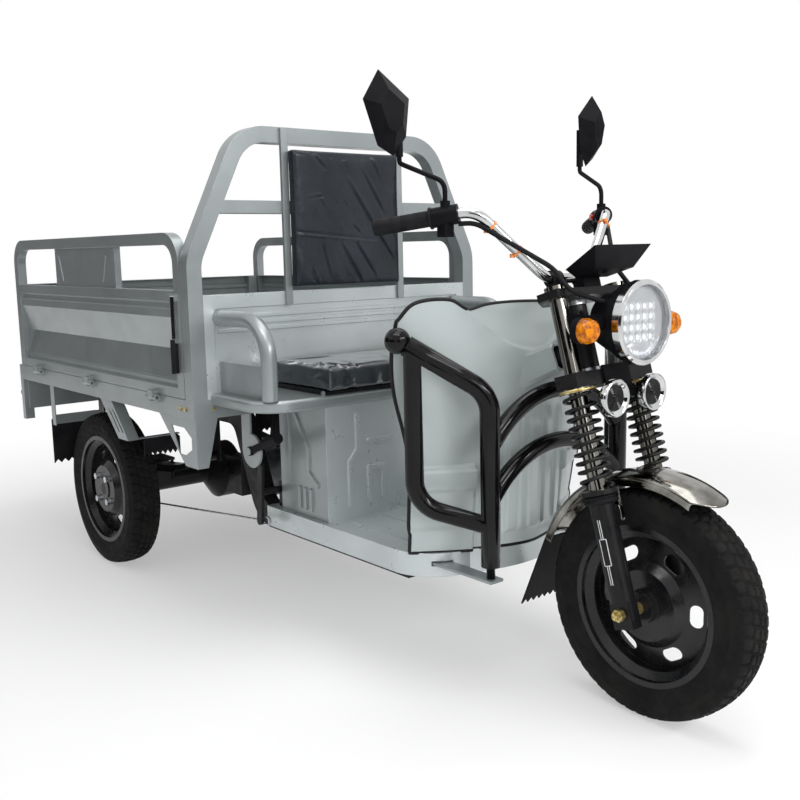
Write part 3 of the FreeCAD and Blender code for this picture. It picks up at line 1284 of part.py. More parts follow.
def main_frame():
    """Welded frame: head tube, neck, two rails, cross tubes, spring hangers, lugs and quadrant."""
    low = YOKE_BOTTOM + LOWER_YOKE_HEIGHT + BEARING_HEIGHT
    high = UPPER_YOKE_BOTTOM - BEARING_HEIGHT
    head = to_fork(rod(V(-STEM_OFFSET, 0, low), V(-STEM_OFFSET, 0, high), HEAD_TUBE_RADIUS))
    head_bore = to_fork(rod(V(-STEM_OFFSET, 0, low - OVERRUN), V(-STEM_OFFSET, 0, high + OVERRUN),
                            HEAD_TUBE_BORE))
    lean = math.radians(RAKE_DEGREES)
    head_run = (NECK_HEAD_Z - AXLE_Z + STEM_OFFSET * math.sin(lean)) / math.cos(lean)
    head_place = fork_point(-STEM_OFFSET, 0, head_run)
    neck_points = neck_line(head_place)
    neck = round_sweep(neck_points, NECK_BEND, NECK_RADIUS)
    neck_bore = round_sweep(neck_points, NECK_BEND, NECK_RADIUS - NECK_WALL)
    pieces = [head, neck]
    rails = [frame_rail(side) for side in (-1, 1)]
    nose = AXLE_X - RAIL_NOSE_BACK
    half = RAIL_HEIGHT / 2
    inside = RAIL_Y - RAIL_WIDTH / 2 + RAIL_WALL
    foot = box(AXLE_X - NECK_FOOT_BACK - half, AXLE_X - NECK_FOOT_BACK + half, -inside, inside,
               RAIL_LOW_Z - half, RAIL_LOW_Z + half - RAIL_WALL)
    foot_bore = box(AXLE_X - NECK_FOOT_BACK - half + RAIL_WALL, AXLE_X - NECK_FOOT_BACK + half - RAIL_WALL,
                    -inside, inside, RAIL_LOW_Z - half - OVERRUN, RAIL_LOW_Z + half - 2 * RAIL_WALL)
    pieces.append(foot.cut(foot_bore))
    for place in (BOX_REAR_X + BED_CHANNEL + half, REAR_X + LEAF_HALF_LENGTH + HANGER_LENGTH,
                  REAR_X - LEAF_HALF_LENGTH + HANGER_LENGTH * 2):
        bar = rod(V(place, -inside, RAIL_HIGH_Z), V(place, inside, RAIL_HIGH_Z), NECK_RADIUS)
        pieces.append(bar.cut(rod(V(place, -inside, RAIL_HIGH_Z), V(place, inside, RAIL_HIGH_Z),
                                  NECK_RADIUS - NECK_WALL)))
    pieces.append(rod(V(BOX_FRONT_X - RAIL_KICK_START / 2, -inside, RAIL_LOW_Z),
                      V(BOX_FRONT_X - RAIL_KICK_START / 2, inside,
                        RAIL_LOW_Z), NECK_RADIUS * CROSS_BAR_SHARE))
    for eye in leaf_eye_places():
        for side in (-1, 1):
            pieces.append(spring_hanger(eye, side))
    for side in (-1, 1):
        y = side * GUARD_FRONT_HALF
        pieces.append(box(nose - half, AXLE_X - GUARD_FRONT_BACK + GUARD_LUG_WIDTH / 2,
                          y - GUARD_LUG_WIDTH / 2,
                          y + GUARD_LUG_WIDTH / 2, GUARD_LUG_Z, GUARD_LUG_Z + GUARD_LUG_THICKNESS))
        pieces.append(shaft_lug(side))
    frame = fuse(pieces + rails)
    frame = frame.cut(head_bore).cut(neck_bore)
    shaft = shaft_centre()
    frame = frame.cut(rod(shaft - LEFT * BOX_HALF, shaft + LEFT * BOX_HALF, SHAFT_RADIUS + RUNNING_GAP))
    return frame


def neck_line(head_place):
    """Line of the neck tube from the head tube down to its cross member."""
    return [head_place, V(AXLE_X - NECK_ELBOW_BACK, 0, NECK_ELBOW_Z),
            V(AXLE_X - NECK_FOOT_BACK, 0, RAIL_LOW_Z)]


def spring_hanger(eye, side):
    """Two plates under a rail with the pin that carries one end of a leaf spring."""
    y = side * RAIL_Y
    near = LEAF_WIDTH / 2 + RUNNING_GAP
    far = near + HANGER_THICKNESS
    half = HANGER_LENGTH / 2
    top = RAIL_HIGH_Z - RAIL_HEIGHT / 2
    cheeks = []
    for cheek in (-1, 1):
        y0 = y + cheek * near
        y1 = y + cheek * far
        cheeks.append(box(eye.x - half, eye.x + half, min(y0, y1), max(y0, y1),
                          eye.z - half * HANGER_FOOT_SHARE, top))
    cap = box(eye.x - half, eye.x + half, y - far, y + far, top - HANGER_THICKNESS, top + RAIL_WALL / 2)
    pin = rod(V(eye.x, y - far, eye.z), V(eye.x, y + far, eye.z), LEAF_PIN_RADIUS)
    return fuse(cheeks + [cap, pin])


def shaft_centre():
    """Middle of the brake cross shaft."""
    return V(BOX_FRONT_X + SHAFT_AHEAD, 0, SHAFT_Z)


def shaft_lug(side):
    """Bored lug on a rail that carries the brake cross shaft."""
    y = side * RAIL_Y
    centre = shaft_centre()
    return box(centre.x - SHAFT_LUG_HALF, centre.x + SHAFT_LUG_HALF, y - SHAFT_LUG_THICKNESS / 2,
               y + SHAFT_LUG_THICKNESS / 2, RAIL_LOW_Z + RAIL_HEIGHT / 2 - RAIL_WALL / 2,
               SHAFT_Z + SHAFT_LUG_HALF)


def shield_point(x_share, y_share, z_share, side):
    """A place on the leg shield from its shares."""
    return V(AXLE_X - SHIELD_BACK + SHIELD_DEPTH * x_share, side * SHIELD_HALF_WIDTH * y_share,
             FLOOR_TOP_Z + SHIELD_HEIGHT * z_share)


def shield_grid():
    """Rows of points across the shield, from its foot to its top rim, right edge to left edge."""
    rows = []
    for z_share, half_share, prow_share, edge_share in SHIELD_LEVEL_SHARES:
        half_row = []
        for station in SHIELD_STATION_SHARES:
            x_share = prow_share + (edge_share - prow_share) * station ** SHIELD_SWEEP_POWER
            half_row.append((x_share, half_share * station, z_share))
        rows.append(half_row)
    rows.append(SHIELD_TOP_SHARES)
    grid = []
    for half_row in rows:
        right = [shield_point(*shares, -1) for shares in reversed(half_row)]
        left = [shield_point(*shares, 1) for shares in half_row[1:]]
        grid.append(right + left)
    return grid


def leg_shield():
    """Moulded shield with a prow, swept sides and two raised shoulders, one wall thick."""
    grid = shield_grid()
    shift = V(-SHIELD_WALL, 0, 0)
    faces = []

    def facet(*corners):
        faces.append(Part.Face(Part.makePolygon(list(corners) + [corners[0]])))

    for low, high in zip(grid, grid[1:]):
        middle = len(low) // 2
        for index in range(len(low) - 1):
            a, b, c, d = low[index], low[index + 1], high[index + 1], high[index]
            split = ((a, b, c), (a, c, d)) if index >= middle else ((a, b, d), (b, c, d))
            for triangle in split:
                facet(*triangle)
                facet(*[corner + shift for corner in triangle])
    for line in (grid[0], grid[-1], [row[0] for row in grid], [row[-1] for row in grid]):
        for first, last in zip(line, line[1:]):
            facet(first, last, last + shift)
            facet(first, last + shift, first + shift)
    shield = Part.makeSolid(Part.makeShell(faces))
    if shield.Volume < 0:
        shield.reverse()
    lean = math.radians(RAKE_DEGREES)
    head_run = (NECK_HEAD_Z - AXLE_Z + STEM_OFFSET * math.sin(lean)) / math.cos(lean)
    opening = round_sweep(neck_line(fork_point(-STEM_OFFSET, 0, head_run)), NECK_BEND, NECK_RADIUS)
    return shield.cut(opening)


def crash_guard():
    """Welded guard: a hoop with a ball end at each side and two arched bars across the front."""
    foot = V(AXLE_X - GUARD_FRONT_BACK, -GUARD_FRONT_HALF, GUARD_FOOT_Z)
    corner = V(foot.x, foot.y, GUARD_CORNER_Z)
    ball = V(AXLE_X - GUARD_BALL_BACK, -GUARD_BALL_HALF, GUARD_BALL_Z)
    main_line = [foot, corner, ball]
    brace_top = ball + (corner - ball) * GUARD_BRACE_SHARE
    brace_low = V(brace_top.x, brace_top.y, GUARD_BRACE_LOW_Z)
    brace_end = V(foot.x, foot.y, GUARD_BRACE_END_Z)
    brace_line = [brace_top, brace_low, brace_end]
    solids = []
    bores = []
    for line, radius in ((main_line, GUARD_TUBE_RADIUS), (brace_line, GUARD_BRACE_RADIUS)):
        solid = round_sweep(line, GUARD_BEND, radius)
        bore = round_sweep(line, GUARD_BEND, radius - GUARD_TUBE_WALL)
        solids.extend([solid, mirrored(solid)])
        bores.extend([bore, mirrored(bore)])
    end_half = GUARD_FRONT_HALF - GUARD_TUBE_RADIUS / 2
    for step in (0, 1):
        end = V(foot.x, -end_half, GUARD_BAR_LOW_Z + step * GUARD_BAR_STEP)
        crown = V(foot.x, 0, end.z + GUARD_BAR_ARCH)
        half_turn = 2 * math.atan2(GUARD_BAR_ARCH, end_half)
        hub = V(foot.x, 0, crown.z - end_half / math.sin(half_turn))
        heading = FORWARD.cross(hub - end)
        for group, radius in ((solids, GUARD_BAR_RADIUS), (bores, GUARD_BAR_RADIUS - GUARD_TUBE_WALL)):
            section = disc(end, heading, radius)
            group.append(outward(section.revolve(hub, FORWARD * -1, math.degrees(2 * half_turn))))
    welded = weld(solids)
    for bore in bores:
        welded = welded.cut(bore)
    ends = []
    for side in (-1, 1):
        ends.append(Part.makeSphere(GUARD_BALL_RADIUS, V(ball.x, side * GUARD_BALL_HALF, ball.z)))
        y = side * GUARD_FRONT_HALF
        lug_top = GUARD_LUG_Z + GUARD_LUG_THICKNESS
        ends.append(rod(V(foot.x, y, lug_top), V(foot.x, y, GUARD_FOOT_Z + GUARD_PEG_RADIUS),
                        GUARD_PEG_RADIUS))
        ends.append(rod(V(foot.x, y, GUARD_FOOT_Z), V(foot.x, y, GUARD_FOOT_Z + GUARD_PEG_RADIUS),
                        GUARD_TUBE_RADIUS - GUARD_TUBE_WALL / 2))
    return weld([welded] + ends)


def battery_box():
    """Pressed box round the batteries: four walls with raised ribs, open above and below."""
    front = AXLE_X - SEAT_BOX_SETBACK
    back = BOX_FRONT_X + SEAT_BOX_TAIL
    half = SEAT_BOX_WIDTH / 2
    walls = box(back, front, -half, half, FLOOR_TOP_Z, SHELF_BOTTOM_Z)
    walls = walls.cut(box(back + SHEET, front - SHEET, -half + SHEET, half - SHEET, FLOOR_TOP_Z - OVERRUN,
                          SHELF_BOTTOM_Z + OVERRUN))
    height = SHELF_BOTTOM_Z - FLOOR_TOP_Z
    ribs = []
    for side in (-1, 1):
        for line in FRONT_RIB_SHARES:
            places = [V(front - SHEET / 2, side * half * y_share, FLOOR_TOP_Z + height * z_share)
                      for y_share, z_share in line]
            ribs.extend(raised_rib(start, end, FORWARD) for start, end in zip(places, places[1:]))
        for line in SIDE_RIB_SHARES:
            places = [V(back + (front - back) * x_share, side * (half - SHEET / 2),
                        FLOOR_TOP_Z + height * z_share)
                      for x_share, z_share in line]
            ribs.extend(raised_rib(start, end, LEFT * side) for start, end in zip(places, places[1:]))
    return fuse([walls] + ribs)


def raised_rib(start, end, facing):
    """Straight pressed rib with rounded ends on a sheet."""
    depth = facing * (SHEET / 2 + SEAT_BOX_RIB)
    run = (end - start).normalize()
    across = run.cross(facing).normalize() * (SEAT_BOX_RIB_WIDTH / 2)
    bar = plate([start + across, end + across, end - across, start - across], depth)
    caps = [rod(point, point + depth, SEAT_BOX_RIB_WIDTH / 2) for point in (start, end)]
    return fuse([bar] + caps)


def power_pack():
    """Row of battery blocks and the motor controller inside the battery box."""
    front = AXLE_X - SEAT_BOX_SETBACK
    middle = (front + BOX_FRONT_X + SEAT_BOX_TAIL) / 2
    blocks = []
    step = CELL_WIDTH + CELL_GAP
    for index in range(CELL_COUNT):
        y = (index - (CELL_COUNT - 1) / 2) * step
        blocks.append(box(middle - CELL_LENGTH / 2, middle + CELL_LENGTH / 2, y - CELL_WIDTH / 2,
                          y + CELL_WIDTH / 2,
                          FLOOR_TOP_Z, FLOOR_TOP_Z + CELL_HEIGHT))
    top = FLOOR_TOP_Z + CELL_HEIGHT
    blocks.append(box(middle - CONTROLLER_LENGTH / 2, middle + CONTROLLER_LENGTH / 2, -CONTROLLER_WIDTH / 2,
                      CONTROLLER_WIDTH / 2, top, top + CONTROLLER_HEIGHT))
    return Part.makeCompound(blocks)


def seat_shelf():
    """Folded shelf under the seat with a rolled edge, open below, and a hatch over the batteries."""
    half = SHELF_WIDTH / 2
    nose = BOX_FRONT_X + SHELF_NOSE
    square = rounded_rectangle(BOX_FRONT_X - SHELF_CORNER_RADIUS, nose, -half, half, SHELF_BOTTOM_Z,
                               SHELF_CORNER_RADIUS)
    blank = Part.Face(square).extrude(V(0, 0, SHELF_HEIGHT))
    blank = blank.makeFillet(SHELF_EDGE_RADIUS, level_edges(blank, (SHELF_BOTTOM_Z, SHELF_TOP_Z)))
    inner = rounded_rectangle(BOX_FRONT_X - SHELF_CORNER_RADIUS, nose - SHEET - SHELF_EDGE_RADIUS,
                              -half + SHEET + SHELF_EDGE_RADIUS, half - SHEET - SHELF_EDGE_RADIUS,
                              SHELF_BOTTOM_Z - OVERRUN, SHELF_CORNER_RADIUS - SHELF_EDGE_RADIUS)
    lift = SHELF_HEIGHT - SHEET + OVERRUN
    blank = blank.cut(Part.Face(inner).extrude(V(0, 0, lift)))
    blank = blank.cut(box(BOX_FRONT_X - SHELF_CORNER_RADIUS - OVERRUN, BOX_FRONT_X, -BOX_HALF, BOX_HALF,
                          SHELF_BOTTOM_Z - OVERRUN, SHELF_TOP_Z + OVERRUN))
    front = AXLE_X - SEAT_BOX_SETBACK
    seat_ring = box(BOX_FRONT_X + SEAT_BOX_TAIL, front, -SEAT_BOX_WIDTH / 2, SEAT_BOX_WIDTH / 2,
                    SHELF_BOTTOM_Z,
                    SHELF_TOP_Z - SHEET / 2)
    middle = (front + BOX_FRONT_X + SEAT_BOX_TAIL) / 2
    ring_hole = box(BOX_FRONT_X + SEAT_BOX_TAIL + SHEET, front - SHEET, -SEAT_BOX_WIDTH / 2 + SHEET,
                    SEAT_BOX_WIDTH / 2 - SHEET, SHELF_BOTTOM_Z - OVERRUN, SHELF_TOP_Z - SHEET)
    hatch = box(middle - SHELF_HATCH_LENGTH / 2, middle + SHELF_HATCH_LENGTH / 2, -SHELF_HATCH_WIDTH / 2,
                SHELF_HATCH_WIDTH / 2, SHELF_BOTTOM_Z - OVERRUN, SHELF_TOP_Z + OVERRUN)
    lugs = [seat_lug(side) for side in (-1, 1)]
    return fuse([blank, seat_ring.cut(ring_hole)] + lugs).cut(hatch)


def level_edges(shape, levels):
    """Edges of a shape that lie at one of the given heights."""
    chosen = []
    for edge in shape.Edges:
        bounds = edge.BoundBox
        for level in levels:
            if abs(bounds.ZMin - level) < 1e-4 and abs(bounds.ZMax - level) < 1e-4:
                chosen.append(edge)
    return chosen


def arm_hoop():
    """Bent arm tube beside the seat with its lower infill sheet."""
    y = -ARM_Y
    nose = BOX_FRONT_X + ARM_NOSE
    points = [V(BOX_FRONT_X, y, ARM_TOP_Z), V(nose, y, ARM_TOP_Z), V(nose, y, SHELF_TOP_Z)]
    hoop = tube(points, ARM_BEND, ARM_TUBE_RADIUS, ARM_TUBE_WALL)
    sheet = box(BOX_FRONT_X, nose - ARM_TUBE_RADIUS + ARM_TUBE_WALL / 2, y - SHEET, y + SHEET, SHELF_TOP_Z,
                ARM_PANEL_TOP_Z)
    return fuse([hoop, sheet])


def cushion(x0, x1, y0, y1, bottom, height):
    """Padded block with drawn-in sides and a crowned top."""
    wires = []
    for up_share, inset_share in CUSHION_LEVEL_SHARES:
        inset = CUSHION_INSET * inset_share
        wires.append(rounded_rectangle(x0 + inset, x1 - inset, y0 + inset, y1 - inset,
                                       bottom + height * up_share,
                                       CUSHION_CORNER_RADIUS))
    return Part.makeLoft(wires, True, False)


def seat_hinge(side):
    """Outer end of the seat board's round front edge, on the hinge line."""
    half = SEAT_WIDTH / 2 - CUSHION_INSET
    return V(BOX_FRONT_X + SEAT_HINGE_AHEAD, side * half, SHELF_TOP_Z + SEAT_BASE_HEIGHT / 2)


def seat_lug(side):
    """Lug on the shelf with the pin that the seat board tips on."""
    face = seat_hinge(side) + LEFT * (side * RUNNING_GAP)
    out = LEFT * (side * SEAT_LUG_THICKNESS)
    y0, y1 = sorted((face.y, face.y + out.y))
    foot = box(face.x - SEAT_LUG_HALF, face.x + SEAT_LUG_HALF, y0, y1, SHELF_TOP_Z - SHEET, face.z)
    eye = rod(face, face + out, SEAT_LUG_HALF)
    pin = rod(face + out, face - LEFT * (side * SEAT_PIN_DEPTH), SEAT_PIN_RADIUS)
    return fuse([foot, eye, pin])


def seat_base():
    """Seat board that lies on the shelf and tips forward on pins in its round front edge."""
    back = BOX_FRONT_X + SEAT_REAR_GAP
    right = seat_hinge(-1)
    left = seat_hinge(1)
    board = box(back + CUSHION_INSET, right.x, right.y, left.y, SHELF_TOP_Z, SHELF_TOP_Z + SEAT_BASE_HEIGHT)
    board = fuse([board, rod(right, left, SEAT_BASE_HEIGHT / 2 - RUNNING_GAP)])
    for side in (-1, 1):
        end = seat_hinge(side)
        bore_end = end - LEFT * (side * (SEAT_PIN_DEPTH + RUNNING_GAP))
        board = board.cut(rod(end + LEFT * (side * OVERRUN), bore_end, SEAT_PIN_RADIUS + RUNNING_GAP))
    return board


def seat_cushion():
    """Padded seat on its board."""
    back = BOX_FRONT_X + SEAT_REAR_GAP
    return cushion(back, back + SEAT_LENGTH, -SEAT_WIDTH / 2, SEAT_WIDTH / 2,
                   SHELF_TOP_Z + SEAT_BASE_HEIGHT,
                   SEAT_CUSHION_HEIGHT)


def backrest_pad():
    """Padded backrest in front of the headboard strips."""
    height = PAD_TOP_Z - PAD_BOTTOM_Z
    flat = cushion(-height / 2, height / 2, -PAD_WIDTH / 2, PAD_WIDTH / 2, 0, PAD_THICKNESS)
    flat.rotate(ORIGIN, LEFT, 90.0)
    flat.translate(V(BOX_FRONT_X + STRIP_THICKNESS, 0, (PAD_BOTTOM_Z + PAD_TOP_Z) / 2))
    return flat


def channel(x0, x1, y0, y1, open_side):
    """Bed edge channel that is open toward the middle of the bed."""
    wall = BED_CHANNEL_WALL
    blank = box(x0, x1, y0, y1, BED_BOTTOM_Z, BED_TOP_Z)
    reach = OVERRUN
    cut = {
        "left": (x0 - reach, x1 + reach, y0 + wall, y1 + reach),
        "right": (x0 - reach, x1 + reach, y0 - reach, y1 - wall),
        "front": (x0 + wall, x1 + reach, y0 - reach, y1 + reach),
        "back": (x0 - reach, x1 - wall, y0 - reach, y1 + reach),
    }[open_side]
    return blank.cut(box(*cut, BED_BOTTOM_Z + wall, BED_TOP_Z - wall))


def bed_frame():
    """Load bed: edge channels, cross bars, floor sheet, gussets, stays, rear posts and hinge ears."""
    front, rear, half = BOX_FRONT_X, BOX_REAR_X, BOX_HALF
    size = BED_CHANNEL
    pieces = [
        channel(rear, front, -half, -half + size, "left"),
        channel(rear, front, half - size, half, "right"),
        channel(rear, rear + size, -half, half, "front"),
        channel(front - size, front, -half, half, "back"),
        box(rear + size / 2, front - size / 2, -half + size / 2, half - size / 2, BED_TOP_Z - SHEET,
            BED_TOP_Z),
    ]
    deck_half = half - GATE_THICKNESS - DECK_GAP
    pieces.append(box(rear + GATE_THICKNESS + DECK_GAP, front - HOOP_TUBE - DECK_GAP, -deck_half, deck_half,
                      BED_TOP_Z - SHEET / 2, BED_TOP_Z + SHEET))
    step = BOX_LENGTH / (BED_CROSS_COUNT + 1)
    for index in range(BED_CROSS_COUNT):
        x = rear + (index + 1) * step
        pieces.append(box(x - BED_CROSS_WIDTH / 2, x + BED_CROSS_WIDTH / 2, -half + size / 2,
                          half - size / 2,
                          BED_TOP_Z - SHEET / 2 - BED_CROSS_HEIGHT, BED_TOP_Z - SHEET / 2))
    beam_y = RAIL_Y
    for side in (-1, 1):
        pieces.append(box(rear, front, side * beam_y - RAIL_WIDTH / 2, side * beam_y + RAIL_WIDTH / 2,
                          BED_BOTTOM_Z,
                          BED_BOTTOM_Z + BED_CHANNEL_WALL))
        for index in range(BED_CROSS_COUNT):
            x = rear + (index + 1) * step
            pieces.append(box(x - BED_CROSS_WIDTH / 4, x + BED_CROSS_WIDTH / 4,
                              side * beam_y - RAIL_WIDTH / 2,
                              side * beam_y + RAIL_WIDTH / 2, BED_BOTTOM_Z, BED_TOP_Z - SHEET / 2))
    right = [corner_gusset(), wheel_stay(), rear_post(), flap_strut()]
    pieces.extend(right)
    pieces.extend([mirrored(shape) for shape in right])
    pieces.append(box(rear, rear + SHEET, -half + POST_DEPTH / 2, half - POST_DEPTH / 2, VALANCE_BOTTOM_Z,
                      BED_BOTTOM_Z + BED_CHANNEL_WALL))
    pieces.append(quadrant_plate())
    pieces.extend(bed_hinge_ears())
    bed = fuse(pieces)
    for pin in hinge_lines(0):
        bed = bed.cut(rod(pin[0], pin[1], HINGE_PIN_RADIUS + RUNNING_GAP / 3))
    return bed


def corner_gusset():
    """Pressed gusset under the front corner of the bed with a polygon window."""
    y = -BOX_HALF + GUSSET_WALL
    top = BED_BOTTOM_Z + GUSSET_WALL
    low = BED_BOTTOM_Z - GUSSET_DROP
    front = BOX_FRONT_X
    back = front - GUSSET_LENGTH
    thick = V(0, GUSSET_WALL, 0)
    cheek = plate([V(front, y, top), V(front, y, low), V(front - GUSSET_FOOT, y, low), V(back, y, top)],
                  thick)
    span = GUSSET_LENGTH * GUSSET_SPAN_SHARE
    window = [V(front - span * (1 - x_share), y - OVERRUN, BED_BOTTOM_Z - GUSSET_DROP * z_share)
              for x_share, z_share in GUSSET_WINDOW_SHARES]
    cheek = cheek.cut(plate(window, V(0, 2 * OVERRUN, 0)))
    nose = plate([V(front, y, top), V(front, y, low), V(front, y + GUSSET_FOOT / 2, low),
                  V(front, y + GUSSET_FOOT, top)], V(-GUSSET_WALL, 0, 0))
    return fuse([cheek, nose])


def wheel_stay():
    """Slotted channel stay ahead of the rear wheel that holds the small front flap."""
    y = -BOX_HALF + GUSSET_WALL * 4
    top = BED_BOTTOM_Z + GUSSET_WALL
    start = REAR_X + STAY_CLEAR - STAY_SWEEP / 3
    low = top - STAY_DROP
    outline = [V(start, y, top), V(start + STAY_TOP_LENGTH, y, top),
               V(start + STAY_SWEEP + STAY_TOP_LENGTH * STAY_FOOT_SHARE, y, low), V(start + STAY_SWEEP, y,
                                                                                    low)]
    face = plate(outline, V(0, GUSSET_WALL, 0))
    sweep_share, drop_share = STAY_SLOT_TOP_SHARES
    head = V(STAY_SWEEP * sweep_share, 0, -STAY_DROP * drop_share)
    foot = V(STAY_SWEEP, 0, -STAY_DROP) * STAY_SLOT_END_SHARE
    wide = V(STAY_SLOT_WIDTH, 0, 0)
    for share in STAY_SLOT_SHARES:
        corner = outline[0] + V(STAY_TOP_LENGTH * share, -OVERRUN, 0)
        slot = [corner + head, corner + head + wide, corner + foot + wide, corner + foot]
        face = face.cut(plate(slot, V(0, 2 * OVERRUN, 0)))
    flange = plate([outline[1], outline[2], outline[2] + V(-GUSSET_WALL, 0, 0),
                    outline[1] + V(-GUSSET_WALL, 0, 0)],
                   V(0, STAY_FLANGE, 0))
    hanger_x = outline[2].x - GUSSET_WALL
    cross = box(hanger_x - STAY_FLANGE / 2, hanger_x, y, -REAR_FLAP_INNER, low, low + GUSSET_WALL)
    return fuse([face, flange, cross])


def rear_post():
    """Post at the rear corner of the bed that reaches below it and ends its bump stop."""
    y = -BOX_HALF
    middle = y + POST_DEPTH / 2
    stop = rod(V(BOX_REAR_X, middle, BUMPER_Z), V(-OVERALL_LENGTH / 2, middle, BUMPER_Z), BUMPER_RADIUS)
    post = box(BOX_REAR_X - POST_WIDTH, BOX_REAR_X, y, y + POST_DEPTH, POST_BOTTOM_Z, BED_TOP_Z)
    link = box(BOX_REAR_X - POST_WIDTH, BOX_REAR_X + BED_CHANNEL_WALL, y, y + POST_DEPTH, BED_BOTTOM_Z,
               BED_TOP_Z)
    return fuse([post, link, stop])


def rear_flap_x():
    """Front face of the flap behind a rear wheel."""
    return REAR_X - TYRE_RADIUS - REAR_FLAP_CLEAR


def flap_strut():
    """Strut and cross strip that carry the flap behind a rear wheel."""
    x = rear_flap_x()
    y = -BOX_HALF + GUSSET_WALL * 4
    strut = box(x, x + REAR_STRUT_WIDTH, y, y + GUSSET_WALL, REAR_FLAP_TOP_Z - REAR_STRUT_WIDTH,
                BED_BOTTOM_Z + GUSSET_WALL)
    strip = box(x, x + GUSSET_WALL, y, -REAR_FLAP_INNER, REAR_FLAP_TOP_Z - REAR_STRUT_WIDTH,
                REAR_FLAP_TOP_Z)
    return fuse([strut, strip])


def toothed_flap(x, y0, y1, bottom, top, taper):
    """Rubber flap with a saw-tooth lower edge, across the vehicle."""
    outline = [V(x, y0 + taper, top), V(x, y1 - taper, top), V(x, y1, top - taper), V(x, y1, bottom)]
    step = (y1 - y0) / FLAP_TEETH
    for tooth in range(FLAP_TEETH):
        y = y1 - step * tooth
        outline.append(V(x, y - step / 2, bottom + FLAP_TOOTH_DEPTH))
        outline.append(V(x, y - step, bottom))
    outline.append(V(x, y0, top - taper))
    return plate(outline, V(-FLAP_THICKNESS, 0, 0))


def rear_mud_flaps():
    """Flaps behind and ahead of both rear wheels."""
    behind = toothed_flap(rear_flap_x(), -REAR_FLAP_OUTER, -REAR_FLAP_INNER, REAR_FLAP_BOTTOM_Z,
                          REAR_FLAP_TOP_Z,
                          FLAP_FLARE)
    start = REAR_X + STAY_CLEAR - STAY_SWEEP / 3
    x = start + STAY_SWEEP + STAY_TOP_LENGTH * STAY_FOOT_SHARE - GUSSET_WALL
    low = BED_BOTTOM_Z + GUSSET_WALL - STAY_DROP
    ahead = toothed_flap(x, -REAR_FLAP_OUTER + FRONT_FLAP_INSET, -REAR_FLAP_INNER, FRONT_FLAP_BOTTOM_Z, low,
                         FLAP_FLARE / 2)
    return Part.makeCompound([behind, mirrored(behind), ahead, mirrored(ahead)])


def bed_bolts():
    """Plated bolt heads at the front corners of the bed."""
    solids = []
    z = BED_BOTTOM_Z + BED_HEIGHT / 2
    for side in (-1, 1):
        for share in SIDE_BOLT_SHARES:
            x = BOX_FRONT_X - BED_CHANNEL * share
            y = side * BOX_HALF
            solids.append(rod(V(x, y, z), V(x, y + side * BOLT_HEIGHT, z), BOLT_RADIUS))
        for share in FRONT_BOLT_SHARES:
            y = side * (BOX_HALF - BED_CHANNEL * share)
            solids.append(rod(V(BOX_FRONT_X, y, z), V(BOX_FRONT_X + BOLT_HEIGHT, y, z), BOLT_RADIUS))
    return Part.makeCompound(solids)


def quadrant_plate():
    """Plate under the front of the bed with the pivot of the hand brake lever."""
    pivot = lever_pivot()
    y0 = pivot.y + RUNNING_GAP
    y1 = y0 + QUADRANT_THICKNESS
    x0 = pivot.x - QUADRANT_RADIUS
    x1 = BOX_FRONT_X
    plate_part = box(x0, x1, y0, y1, LEVER_PIVOT_Z, BED_BOTTOM_Z + BED_CHANNEL_WALL / 2)
    sector = rod(V(pivot.x, y0, pivot.z), V(pivot.x, y1, pivot.z), QUADRANT_RADIUS)
    pin = rod(V(pivot.x, y0, pivot.z), V(pivot.x, pivot.y - LEVER_THICKNESS - SHEET, pivot.z),
              PEDAL_PIN_RADIUS)
    head_start = V(pivot.x, pivot.y - LEVER_THICKNESS - RUNNING_GAP, pivot.z)
    head = rod(head_start, head_start - LEFT * SHEET, PIVOT_HEAD_RADIUS)
    return fuse([plate_part, sector, pin, head])


def lever_pivot():
    """Pivot of the hand brake lever, on the inner face of the lever."""
    return V(BOX_FRONT_X + LEVER_PIVOT_AHEAD, -LEVER_Y, LEVER_PIVOT_Z)


def hinge_lines(shorter):
    """Ends of every hinge pin: three along each side gate and three across the tail gate."""
    lines = []
    half = V(HINGE_LENGTH / 2 - shorter, 0, 0)
    for side in (-1, 1):
        for share in HINGE_SHARES:
            centre = V(BOX_REAR_X + (GATE_FRONT_X - BOX_REAR_X) * share, side * HINGE_Y, HINGE_Z)
            lines.append((centre - half, centre + half))
    half = V(0, HINGE_LENGTH / 2 - shorter, 0)
    for share in HINGE_SHARES:
        centre = V(BOX_REAR_X - HINGE_STANDOFF, (2 * share - 1) * tail_half(), HINGE_Z)
        lines.append((centre - half, centre + half))
    return lines


def tail_half():
    """Half width of the tail gate, which drops between the rear posts."""
    return BOX_HALF - POST_DEPTH - GATE_END_GAP


def hinge_ear(line, start_share, end_share):
    """Knuckle on a stretch of a hinge line with a web back to the bed or gate."""
    run = line[1] - line[0]
    start = line[0] + run * start_share
    end = line[0] + run * end_share
    return rod(start, end, HINGE_RADIUS)


